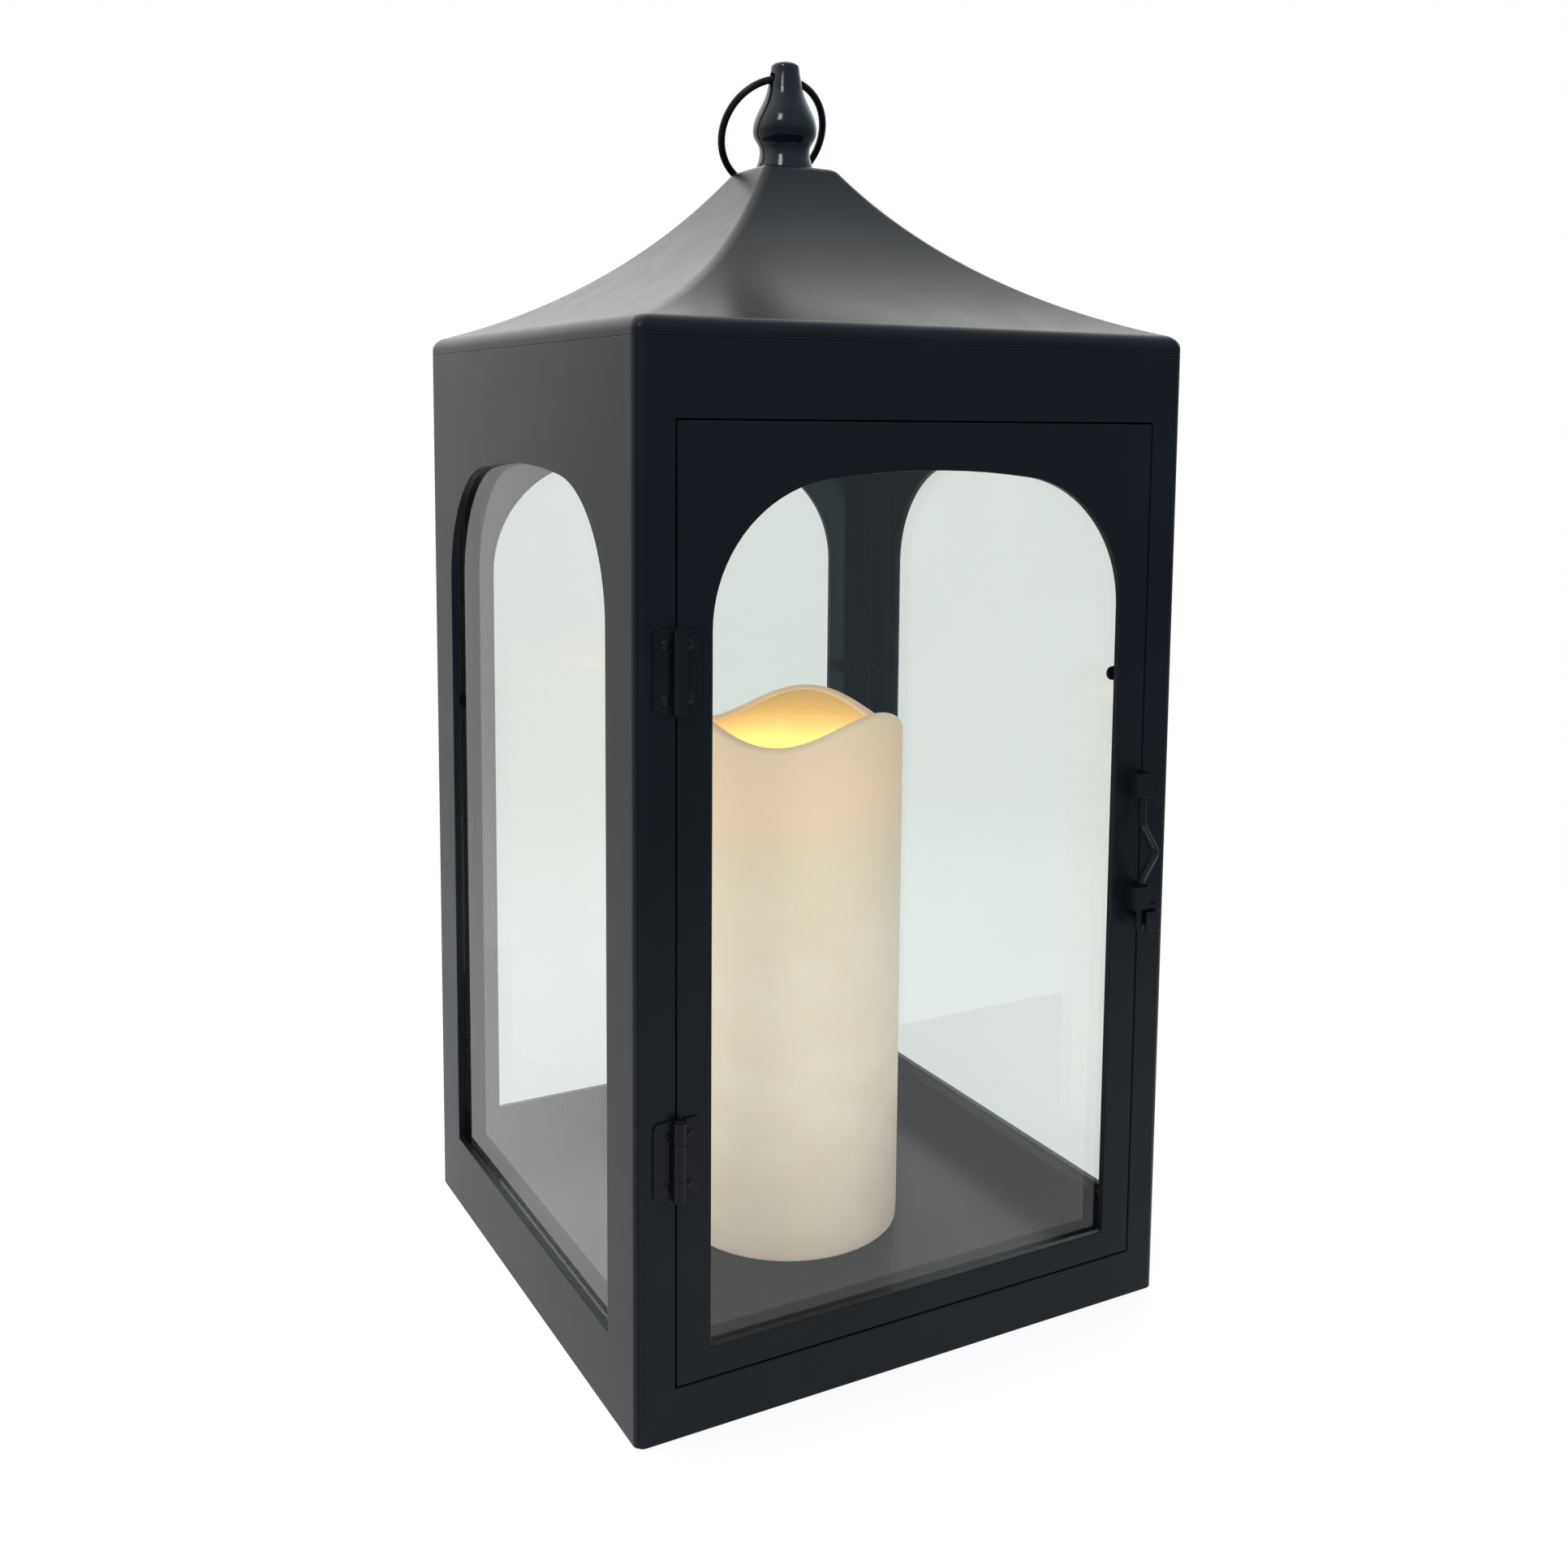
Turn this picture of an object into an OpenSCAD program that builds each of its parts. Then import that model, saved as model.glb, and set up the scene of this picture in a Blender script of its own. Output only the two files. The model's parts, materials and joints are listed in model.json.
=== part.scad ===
// Square sheet-metal solar lantern: arched windows, hinged glass door with a lift latch,
// swept pyramid roof with a turned finial and a hanging ring, and an LED pillar candle.
// Millimetres, +Z up, door towards -Y, hinges on the -X side. Origin: centre of the base.

/* [Body] */
// Outer width and depth of the square body
body_w = 209; // [207:0.5:211]
// Height of the walls, from the base to the roof seam
wall_h = 346; // [344:0.5:348]
// Thickness of the sheet steel
sheet_t = 1.2; // [1.1:0.1:1.3]
// Outer radius of the upright corners
corner_r = 3.5; // [3:0.5:4]

/* [Windows] */
// Half the clear width of a wall window
win_half = 80.2; // [79.5:0.1:80.5]
// Half the clear width of the door window
door_win_half = 79; // [78.5:0.1:79.2]
// Height of the window sills
sill_z = 27.6; // [27:0.2:28.4]
// Height of the crown of the window arches
crown_z = 305.6; // [304:0.2:306.4]
// Depth of the folded edge round each window
reveal_d = 2.7; // [2.6:0.1:3]
// Thickness of the glass panes
glass_t = 3; // [2.8:0.1:3.2]

/* [Door] */
// Half the width of the door leaf
door_half = 90.8; // [90.4:0.1:90.9]
// Height of the door's bottom edge
door_z0 = 17.6; // [17.4:0.1:18.4]
// Height of the door's top edge
door_z1 = 321.1; // [320.5:0.1:321.2]
// Depth of the door's folded edges
door_d = 7; // [6.6:0.1:7.2]

/* [Roof and finial] */
// Height of the small flat at the top of the roof
roof_top_z = 413.5; // [413:0.1:413.8]
// Height of the tip of the finial
finial_top_z = 453; // [452.6:0.1:453.4]
// Centre-line radius of the hanging ring
ring_r = 20.8; // [20.6:0.1:20.9]
// Wire diameter of the hanging ring
ring_wire_d = 2.7; // [2.5:0.1:2.7]
// Lean of the ring on the rear of the roof, from upright
ring_lean = 28.5; // [28.5:0.5:30]

/* [Candle] */
// Outer radius of the wax pillar
candle_r = 43; // [42:0.5:43.5]
// Height of the wax above the floor pan
candle_h = 205; // [203:0.5:206]

/* [Hidden] */
$fn = 64;
over = 1;                       // how far a cutter runs past the face that it opens
nick = 0.01;                    // the same, for a cutter with a slanted side
hw = body_w / 2;
in_half = hw - sheet_t;         // inner faces of the walls
steel = [0.13, 0.15, 0.18];
hardware = [0.16, 0.17, 0.19];
clear_glass = [0.78, 0.86, 0.84, 0.35];

// Arched opening: a wide flat arc between two tight corner arcs
arch_corner_r = 46;
arch_top_r = 300;

// Roof: a concave arc from the eaves to the top flat, with a rolled eave and a soft shoulder
sweep_r = 165.5;
sweep_x = hw + 43.9;
sweep_z = wall_h + 164.8;
eave_r = 5;
shoulder_r = 4;
eave_x = hw - eave_r;
eave_z = sweep_z - sqrt(pow(sweep_r + eave_r, 2) - pow(sweep_x - eave_x, 2));
shoulder_z = roof_top_z - shoulder_r;
shoulder_x = sweep_x - sqrt(pow(sweep_r + shoulder_r, 2) - pow(sweep_z - shoulder_z, 2));
skirt_z0 = wall_h - 12;
skirt_z1 = wall_h + 1;
skirt_t = 1;

// Door opening, stop lip and hinge line
opening_half = door_half + 0.6;
opening_z0 = door_z0 - 0.6;
opening_z1 = door_z1 + 0.6;
lip_y = door_d + 1.2;           // depth of the stop lip's front face, from the outer face
lip_w = 2.9;                    // how far the lip stands into the opening
hinge_x = -(door_half + opening_half) / 2;
hinge_y = -hw - 2.45;
hinge_zs = [92.9, 245.9];       // centres of the lower and upper hinge
hinge_h = 25.6;
knuckle_r = 2.1;
pin_r = 1.05;
pin_fit = 0.05;
middle_half = 5.8;              // half the height of the door's knuckle
leaf_t = 0.9;
leaf_reach = 8;
leaf_clear = 2.6;               // edge of a leaf beside the other leaf's knuckle
leaf_corner_r = 2.5;
web_lap = 0.5;                  // how far a knuckle's web runs into its leaf
knuckle_gap = 0.1;
pin_cap = [1.6, 0.7];           // radius and thickness of a hinge pin's end caps
rivet_r = 1.1;
rivet_head_r = 1.7;
rivet_dz = 8.3;
rivet_dx = 3.9;
rivet_fit = 0.05;
rivet_tail = 0.6;
rivet_dome_r = 2.4;
hinge_rivet_zs = [for (z = hinge_zs, s = [-1, 1]) z + s * rivet_dz];

// Glass panes and the fingers that hold them
pane_over = 6.3;
door_pane_over = 3.5;
pane_lap = 3;
clip_t = 0.9;
clip_w = 5;
clip_gap = 1.5;                 // from the edge of a pane to the centre of a clip's post
clip_post_r = 1.2;
wall_clip_z = 208;
wall_clip_reach = 4;
door_clip_z = 233;
door_clip_reach = 2.6;
top_clip_x = 50;
top_clip_reach = 2.6;
rest_x = 50;                    // studs that a pane stands on
rest_gap = 0.1;
bumper_zs = [40, 300];          // soft pads on the door's stop lip
bumper_r = 1.2;
bumper_t = 0.8;
bumper_in = 1.6;                // from the edge of the opening to a pad's centre

// Lift latch on the door: a bent wire bolt in two strap guides
bolt_x = 88;
bolt_r = 1.4;
bolt_h = 4.6;                   // wire's centre, in front of the door
bolt_zs = [140.9, 158.8, 171.5, 179.3, 195];
grip_h = 12.4;                  // wire's centre at the tip of the finger grip
guide_h = 7.2;
guide_t = 0.9;
guide_x0 = 84.2;
guide_x1 = 90.7;
upper_guide_z = [190, 198.4];
lower_guide_z = [149, 157.4];
keeper_z = [141.2, 148.2];
keeper_h = 8.6;
keeper_x = [88.3, 94.3, 99.5];  // lip's free edge, riser, end of the foot
keeper_rivet_x = 97.2;
keeper_rivet_z = (keeper_z[0] + keeper_z[1]) / 2;

// Finial, its cross hole and its fixing
hole_z = 446.5;
ring_hole_r = 2.15;
ring_sag = 0.44;                // ring's centre line sits this far past the hole's axis
finial_w = 24;                  // widest part of the finial
stud_r = 3;
stud_fit = 0.05;
stud_gap = 0.2;                 // clearance of the stud in the sheet and the washer
stud_z = [403, 430];
washer_r = 8;
nut_r = 5.8;
nut_h = 4.5;

// Candle
candle_x = 4;
candle_y = -2;
floor_z = 9;
floor_t = 1.2;
deck_half = 90.6;               // raised deck of the floor pan
deck_step = 1.5;
pan_gap = 0.2;                  // clearance of the floor pan inside the walls
pan_corner_r = 2;
boss_top = floor_z - floor_t;
boss_wall = 2;
base_gap = 0.1;                 // clearance of the base plate, and of a countersunk head in it
base_screw_at = [86, 60];
base_screw_r = 1.6;
base_screw_head_r = 3;
base_screw_fit = 0.05;
screw_tip_gap = 0.5;            // from the tip of a screw to the end of its bore
cross_bar = [3.4, 0.7, 1];      // one bar of the cross in a screw's head
lead_x = -95;                   // the lead runs down the rear left corner here
lead_y = 97;
grommet_r = 3.4;
grommet_bore_r = 2.4;
grommet_flange = 1.2;
wax_t = 6;
rim_dip = 10.5;
dip_r = 70;
dip_angles = [-8, 112, 232];
platform_z = 168;
platform_t = 2;
led_board_t = 1.6;
board_bottom = platform_z - platform_t - led_board_t;
base_t = 3.8;                   // thickness of the plastic base inside the wax
terminal_z = floor_z + base_t;
terminal = [12, 8, 6];
insert_t = 2;
insert_gap = 0.1;               // between the liner and the wax
insert_r = candle_r - wax_t - insert_gap;
insert_z = floor_z + base_t + 2 * insert_gap;
wire_hole_r = 5;                // in the floor pan, under the candle
base_wire_r = 3;                // in the candle's base
candle_screw_dx = 22;
candle_screw_r = 1.4;
candle_screw_fit = 0.05;
candle_screw_gap = 0.2;         // clearance in the floor pan
candle_screw_head = [2.8, 1.8];
led_board_r = 9;
led_wire_dx = 1.27;
led_wire_r = 0.6;
led_pin_r = 0.45;
lamp_hole_r = 4.2;

// Solar module on the rear face of the roof, in a frame tilted with the roof
module_y = 70;
module_tilt = asin((sweep_x - module_y) / sweep_r);
module_z = sweep_z - sweep_r * cos(module_tilt);
bezel = [72, 48, 3.2];
bezel_z = 1.9;
gasket_step = 2;
shaft = [64.4, 40.4];
shaft_depth = 16;
shaft_t = 2;
shaft_fit = 0.2;                // clearance of the shaft in the roof's opening
cell = [62, 38, 1];
cell_seat = 1.1;
cell_z = bezel_z + cell_seat;
cell_gap = 0.5;
cell_ledge = 3;                 // width of the bezel's ledge under the cell
cover_t = 1;
cover_gap = 0.1;
boss_at = [28.4, 16.4];
boss_r = 2.6;
screw_r = 1.2;
screw_gap = 0.1;
screw_head = [2.3, 1.4];
battery_r = 5.25;
battery_x = [-22, 22.5];
battery_cap = [1.9, 1.2];       // radius and height of the raised contact
contact = [0.5, 7, 7];
spring_gap = 4.2;               // from the battery's flat end to the plate behind the spring
spring_r = 2.4;
spring_wire_d = 0.6;
spring_sides = 6;
spring_turns = 3;
battery_at = [-9, -8];
board = [40, 14, 1.6];
board_at = [9, -9];             // place down the slope, and height of the underside
slot_x = 10;
slot_y = 9;
slider_travel = 3;
slider = [2.4, 1.8];
slider_out = 2.6;               // how far the thumb piece stands out of the housing
slot_gap = 0.4;
slider_room = [slider_travel + slider[0] + 2 * slot_gap, slider[1] + 2 * slot_gap];
switch = [11, 6];
lead_out = [-24, 8];
lead_out_r = 1.9;
chips = [[-8, 2, 6, 5, 1.6], [-15, -4, 3, 1.6, 1], [-1, 4.5, 3, 1.6, 1]];   // x, y, length, width, height
cans = [[5, -2.5, 2.5, 6], [14, 2, 3, 3]];                                  // x, y, radius, height

// Lead from the module to the candle: down the rear left corner and under the floor pan
lead_d = 2.6;
lead_fit = 0.05;
lead_sides = 8;
lead_route = [[-24, 71, 350], [-24, 69.5, 347], [-25, 68.5, 343.5], [-30, 69, 339.5], [-42, 73, 336],
    [-58, 80, 333], [-74, 87, 330], [-87, 93, 324], [-94, 96.5, 315], [lead_x, lead_y, 304],
    [lead_x, lead_y, 290], [lead_x, lead_y, 150], [lead_x, lead_y, 12], [lead_x, lead_y, 7.5],
    [-94, 96, 4.6], [-91, 93, 3.9], [-84, 86, 3.8], [-40, 42, 3.8], [-2, 4, 3.8], [2, 0, 4.4],
    [3.8, -1.8, 7], [candle_x, candle_y, 10], [candle_x, candle_y, 12.8]];
lead_step = 7.5;
lead_clip_zs = [60, 150, 240];
lead_clip_h = 6;
lead_clip_r = 2.6;
lead_clip_neck = 3;
lead_clip_foot = [10, 1];

// ---------- shared shapes ----------

module rounded_square(half, r) {
    square([2 * half, 2 * (half - r)], center = true);
    square([2 * (half - r), 2 * half], center = true);
    for (sx = [-1, 1], sy = [-1, 1])
        translate([sx * (half - r), sy * (half - r)]) circle(r);
}

// Window outline, grown outwards by g
module arch(half, g = 0) {
    r = arch_corner_r;
    cx = half - r;
    top_c = crown_z - arch_top_r;
    rise = sqrt(pow(arch_top_r - r, 2) - cx * cx);
    reach = 1.05 * (arch_top_r + g) / rise;
    translate([-half - g, sill_z - g])
        square([2 * (half + g), top_c + rise - sill_z + g]);
    for (s = [-1, 1])
        translate([s * cx, top_c + rise]) circle(r + g, $fn = 96);
    intersection() {
        translate([0, top_c]) circle(arch_top_r + g, $fn = 360);
        polygon([[-cx, top_c + rise], [cx, top_c + rise],
            [reach * cx, top_c + reach * rise], [-reach * cx, top_c + reach * rise]]);
    }
}

// Turns a front-facing shape, drawn towards -Y, to another side of the body
module on_side(turn) {
    rotate([0, 0, turn]) children();
}

// Extrudes an X-Z outline from depth d0 to depth d1 behind the outer face
module from_face(d0, d1) {
    translate([0, -hw + d1, 0]) rotate([90, 0, 0]) linear_extrude(d1 - d0) children();
}

// One side of the folded body tube, mitred at the corners
module wall_sheet() {
    linear_extrude(wall_h) intersection() {
        difference() {
            rounded_square(hw, corner_r);
            rounded_square(in_half, corner_r - sheet_t);
        }
        polygon([[0, 0], [-body_w, -body_w], [body_w, -body_w]]);
    }
}

module window_fold(half) {
    from_face(0, reveal_d) difference() {
        arch(half, sheet_t);
        arch(half);
    }
}

module window_panel(turn) {
    on_side(turn) color(steel) {
        difference() {
            wall_sheet();
            from_face(-over, reveal_d) arch(win_half, sheet_t / 2);
        }
        window_fold(win_half);
    }
}

module pane(half, lap) {
    from_face(reveal_d, reveal_d + glass_t)
        translate([-half - lap, sill_z - pane_lap])
            square([2 * (half + lap), crown_z - sill_z + 2 * pane_lap]);
}

// A finger that holds a pane: a post on the sheet and a round-ended tongue over the glass
module glass_clip(at, turn, reach) {
    back = reveal_d + glass_t;
    from_face(sheet_t, back) translate(at) circle(clip_post_r);
    from_face(back, back + clip_t) translate(at) rotate(turn) {
        circle(clip_w / 2);
        translate([reach, 0]) circle(clip_w / 2);
        translate([0, -clip_w / 2]) square([reach, clip_w]);
    }
}

// Round a pane: a clip on each side, two clips along the top, and two studs that it stands on
module glass_clips(half, lap, side_z, reach) {
    for (s = [-1, 1]) {
        glass_clip([s * (half + lap + clip_gap), side_z], s > 0 ? 180 : 0, reach);
        glass_clip([s * top_clip_x, crown_z + pane_lap + clip_gap], -90, top_clip_reach);
        from_face(sheet_t, reveal_d + glass_t)
            translate([s * rest_x, sill_z - pane_lap - rest_gap - clip_post_r]) circle(clip_post_r);
    }
}

// ---------- body ----------

module left_panel() { window_panel(-90); }
module right_panel() { window_panel(90); }
module rear_panel() { window_panel(180); }

module opening_outline(g) {
    translate([-opening_half - g, opening_z0 - g])
        square([2 * (opening_half + g), opening_z1 - opening_z0 + 2 * g]);
}

module front_frame() {
    color(steel) difference() {
        union() {
            difference() {
                wall_sheet();
                from_face(-over, sheet_t + over) opening_outline(0);
            }
            from_face(0, lip_y + sheet_t) difference() {
                opening_outline(sheet_t);
                opening_outline(0);
            }
            from_face(lip_y, lip_y + sheet_t) difference() {
                opening_outline(sheet_t / 2);
                opening_outline(-lip_w);
            }
        }
        for (z = hinge_zs, s = [-1, 1])
            hinge_rivet_bore(hinge_x - rivet_dx, z + s * rivet_dz);
        hinge_rivet_bore(keeper_rivet_x, keeper_rivet_z);
    }
}

module at_base_screws(z) {
    for (sx = [-1, 1], sy = [-1, 1])
        translate([sx * base_screw_at[0], sy * base_screw_at[1], z]) children();
}

module base_plate() {
    color(steel) difference() {
        linear_extrude(sheet_t) rounded_square(in_half - base_gap, corner_r - sheet_t);
        at_base_screws(-nick)
            cylinder(h = sheet_t + 2 * nick, r1 = base_screw_head_r + base_gap, r2 = base_screw_r + base_gap);
    }
}

module base_screws() {
    color("silver") at_base_screws(0) difference() {
        union() {
            cylinder(h = sheet_t, r1 = base_screw_head_r, r2 = base_screw_r);
            cylinder(h = boss_top - screw_tip_gap, r = base_screw_r);
        }
        for (a = [0, 90])
            rotate([0, 0, a]) cube(cross_bar, center = true);
    }
}

module floor_pan() {
    half = in_half - pan_gap;
    ledge = floor_z - deck_step - floor_t;
    color(steel) difference() {
        union() {
            translate([0, 0, boss_top]) linear_extrude(floor_t) square(2 * deck_half, center = true);
            translate([0, 0, ledge]) linear_extrude(floor_t + deck_step) difference() {
                square(2 * deck_half, center = true);
                square(2 * (deck_half - floor_t), center = true);
            }
            translate([0, 0, ledge]) linear_extrude(floor_t) difference() {
                rounded_square(half, pan_corner_r);
                square(2 * (deck_half - floor_t), center = true);
            }
            translate([0, 0, sheet_t]) linear_extrude(ledge - sheet_t + floor_t) difference() {
                rounded_square(half, pan_corner_r);
                rounded_square(half - floor_t, pan_corner_r - floor_t);
            }
            at_base_screws(sheet_t)
                cylinder(h = boss_top - sheet_t + floor_t / 2, r = base_screw_r + boss_wall);
        }
        at_base_screws(0) cylinder(h = boss_top, r = base_screw_r + base_screw_fit);
        at_candle(0) cylinder(h = floor_z + over, r = wire_hole_r);
        at_candle_screws(0) cylinder(h = floor_z + over, r = candle_screw_r + candle_screw_gap);
        translate([lead_x, lead_y, 0]) cylinder(h = floor_z + over, r = grommet_r);
    }
}

module floor_grommet() {
    ledge = floor_z - deck_step;
    color([0.05, 0.05, 0.05]) translate([lead_x, lead_y, ledge]) difference() {
        union() {
            translate([0, 0, -floor_t]) cylinder(h = floor_t, r = grommet_r);
            cylinder(h = grommet_flange, r = grommet_r + grommet_flange);
        }
        translate([0, 0, -floor_t - over])
            cylinder(h = floor_t + grommet_flange + 2 * over, r = grommet_bore_r);
    }
}

// ---------- roof ----------

// Right half of the roof's section, inset by t
module roof_half(t) {
    tangent_x = eave_x + (eave_r - t) * (sweep_x - eave_x) / (sweep_r + eave_r);
    tangent_z = eave_z + (eave_r - t) * (sweep_z - eave_z) / (sweep_r + eave_r);
    top_x = shoulder_x + (shoulder_r - t) * (sweep_x - shoulder_x) / (sweep_r + shoulder_r);
    top_z = shoulder_z + (shoulder_r - t) * (sweep_z - shoulder_z) / (sweep_r + shoulder_r);
    bottom = wall_h - (t > 0 ? over : 0);
    translate([eave_x, eave_z]) circle(eave_r - t);
    translate([eave_x - over, bottom]) square([eave_r + over - t, eave_z - bottom]);
    translate([shoulder_x, shoulder_z]) circle(shoulder_r - t);
    translate([-over, bottom]) square([shoulder_x + over, roof_top_z - t - bottom]);
    difference() {
        polygon([[-over, bottom], [eave_x, bottom], [eave_x, eave_z], [tangent_x, tangent_z],
            [tangent_x, roof_top_z], [top_x, roof_top_z], [top_x, top_z], [-over, top_z]]);
        translate([sweep_x, sweep_z]) circle(sweep_r + t, $fn = 360);
    }
}

module roof_section(t) {
    roof_half(t);
    mirror([1, 0]) roof_half(t);
}

module roof_solid(t) {
    intersection() {
        for_y() linear_extrude(body_w + 2 * over, center = true) roof_section(t);
        rotate([0, 0, 90]) for_y() linear_extrude(body_w + 2 * over, center = true) roof_section(t);
        translate([0, 0, wall_h - (t > 0 ? over : 0)]) linear_extrude(roof_top_z - wall_h + over)
            rounded_square(hw - t, corner_r - t);
    }
}

module for_y() {
    rotate([90, 0, 0]) children();
}

module roof_shell() {
    color(steel) difference() {
        roof_solid(0);
        roof_solid(sheet_t);
        translate([0, 0, stud_z[0]]) cylinder(h = roof_top_z - stud_z[0] + over, r = stud_r + stud_gap);
        module_frame() block(grown(shaft, shaft_fit), -shaft_depth, shaft_depth);
    }
}

module roof_skirt() {
    color(steel) translate([0, 0, skirt_z0]) linear_extrude(skirt_z1 - skirt_z0) difference() {
        rounded_square(in_half, corner_r - sheet_t);
        rounded_square(in_half - skirt_t, corner_r - sheet_t - skirt_t);
    }
}

// ---------- glass ----------

module left_glass() { color(clear_glass) on_side(-90) pane(win_half, pane_over); }
module right_glass() { color(clear_glass) on_side(90) pane(win_half, pane_over); }
module rear_glass() { color(clear_glass) on_side(180) pane(win_half, pane_over); }

module wall_glass_clips() {
    color(hardware) for (turn = [-90, 90, 180])
        on_side(turn) glass_clips(win_half, pane_over, wall_clip_z, wall_clip_reach);
}

// ---------- hinges ----------

module hinge_rivet_bore(x, z) {
    translate([x, -hw + 2 * sheet_t, z]) rotate([90, 0, 0])
        cylinder(h = 4 * sheet_t, r = rivet_r + rivet_fit);
}

// One leaf, drawn for the door's side (+X); the frame's leaf is its mirror image.
// The middle knuckle belongs to the door, the outer two to the frame.
module leaf(z, on_door) {
    s = on_door ? 1 : -1;
    knuckles = on_door ? [[-middle_half, middle_half]]
        : [[-hinge_h / 2, -middle_half - knuckle_gap], [middle_half + knuckle_gap, hinge_h / 2]];
    difference() {
        translate([hinge_x, 0, z]) union() {
            mirror([on_door ? 0 : 1, 0, 0]) from_face(-leaf_t, 0) leaf_outline();
            for (k = knuckles) {
                translate([0, hinge_y, k[0]]) cylinder(h = k[1] - k[0], r = knuckle_r);
                translate([s > 0 ? knuckle_gap : -leaf_clear - web_lap, -hw - leaf_t, k[0]])
                    cube([leaf_clear + web_lap - knuckle_gap, leaf_t, k[1] - k[0]]);
            }
        }
        translate([hinge_x, hinge_y, z - hinge_h]) cylinder(h = 2 * hinge_h, r = pin_r + pin_fit);
        for (k = [-1, 1])
            hinge_rivet_bore(hinge_x + s * rivet_dx, z + k * rivet_dz);
    }
}

module leaf_outline() {
    r = leaf_corner_r;
    translate([leaf_clear, -hinge_h / 2]) square([leaf_reach - leaf_clear - r, hinge_h]);
    translate([leaf_clear, -hinge_h / 2 + r]) square([leaf_reach - leaf_clear, hinge_h - 2 * r]);
    for (s = [-1, 1])
        translate([leaf_reach - r, s * (hinge_h / 2 - r)]) circle(r);
}

module hinge_pin(z) {
    color("dimgray") translate([hinge_x, hinge_y, z]) {
        translate([0, 0, -hinge_h / 2]) cylinder(h = hinge_h, r = pin_r);
        for (s = [-1, 1])
            translate([0, 0, s * (hinge_h + pin_cap[1]) / 2])
                cylinder(h = pin_cap[1], r = pin_cap[0], center = true);
    }
}

// Dome-headed rivets through a leaf and the sheet behind it
module rivets(x, zs) {
    depth = leaf_t + sheet_t + rivet_tail;
    for (z = zs)
        translate([x, -hw - leaf_t, z]) rotate([90, 0, 0]) {
            rotate_extrude() rivet_head();
            translate([0, 0, -depth]) cylinder(h = depth, r = rivet_r);
            translate([0, 0, -depth]) cylinder(h = rivet_tail, r = rivet_head_r);
        }
}

module rivet_head() {
    rise = rivet_dome_r - sqrt(pow(rivet_dome_r, 2) - pow(rivet_head_r, 2));
    intersection() {
        translate([0, rise - rivet_dome_r]) circle(rivet_dome_r);
        square([rivet_head_r, rise]);
    }
}

module hinge_upper_frame_leaf() { color(hardware) leaf(hinge_zs[1], false); }
module hinge_lower_frame_leaf() { color(hardware) leaf(hinge_zs[0], false); }
module hinge_upper_door_leaf() { color(hardware) leaf(hinge_zs[1], true); }
module hinge_lower_door_leaf() { color(hardware) leaf(hinge_zs[0], true); }
module hinge_upper_pin() { hinge_pin(hinge_zs[1]); }
module hinge_lower_pin() { hinge_pin(hinge_zs[0]); }

module hinge_frame_rivets() { color(hardware) rivets(hinge_x - rivet_dx, hinge_rivet_zs); }
module hinge_door_rivets() { color(hardware) rivets(hinge_x + rivet_dx, hinge_rivet_zs); }

// Soft pads on the stop lip that the closed door almost touches
module door_bumpers() {
    color([0.1, 0.1, 0.1]) for (s = [-1, 1], z = bumper_zs)
        from_face(lip_y - bumper_t, lip_y) translate([s * (opening_half - bumper_in), z]) circle(bumper_r);
}

// ---------- door ----------

module door_panel() {
    color(steel) difference() {
        union() {
            from_face(0, sheet_t) difference() {
                door_outline(0);
                arch(door_win_half, sheet_t / 2);
            }
            from_face(0, door_d) difference() {
                door_outline(0);
                door_outline(-sheet_t);
            }
            window_fold(door_win_half);
        }
        for (z = hinge_rivet_zs)
            hinge_rivet_bore(hinge_x + rivet_dx, z);
    }
}

module door_outline(g) {
    translate([-door_half - g, door_z0 - g]) square([2 * (door_half + g), door_z1 - door_z0 + 2 * g]);
}

module door_glass() { color(clear_glass) pane(door_win_half, door_pane_over); }
module door_glass_clips() {
    color(hardware) glass_clips(door_win_half, door_pane_over, door_clip_z, door_clip_reach);
}

// Strap guide that stands on the door and lets the bolt slide through
module guide(zs) {
    color(hardware) translate([guide_x0, -hw - guide_h, zs[0]]) difference() {
        cube([guide_x1 - guide_x0, guide_h, zs[1] - zs[0]]);
        translate([guide_t, guide_t, -over])
            cube([guide_x1 - guide_x0 - 2 * guide_t, guide_h, zs[1] - zs[0] + 2 * over]);
    }
}

module latch_upper_guide() { guide(upper_guide_z); }
module latch_lower_guide() { guide(lower_guide_z); }

// Bolt: straight, out to the tip of the finger grip, back, and straight again
module latch_bolt() {
    hs = [bolt_h, bolt_h, grip_h, bolt_h, bolt_h];
    color(hardware) translate([bolt_x + bolt_r, -hw, 0]) rotate([90, 0, 270])
        linear_extrude(2 * bolt_r) for (i = [0:3]) {
            dz = bolt_zs[i + 1] - bolt_zs[i];
            dh = hs[i + 1] - hs[i];
            translate([hs[i], bolt_zs[i]]) {
                rotate(-atan2(dh, dz)) translate([-bolt_r, 0]) square([2 * bolt_r, norm([dz, dh])]);
                if (i > 0) circle(bolt_r);
            }
        }
}

// Hooked keeper on the frame: foot, riser and a lip over the bolt's tip
module latch_keeper() {
    h = keeper_z[1] - keeper_z[0];
    color(hardware) difference() {
        union() {
            translate([keeper_x[0], -hw - keeper_h, keeper_z[0]])
                cube([keeper_x[1] - keeper_x[0], leaf_t, h]);
            translate([keeper_x[1] - leaf_t, -hw - keeper_h, keeper_z[0]]) cube([leaf_t, keeper_h, h]);
            translate([keeper_x[1] - leaf_t, -hw - leaf_t, keeper_z[0]])
                cube([keeper_x[2] - keeper_x[1] + leaf_t, leaf_t, h]);
        }
        hinge_rivet_bore(keeper_rivet_x, keeper_rivet_z);
    }
}

module keeper_rivet() { color(hardware) rivets(keeper_rivet_x, [keeper_rivet_z]); }

// ---------- finial and ring ----------

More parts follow.
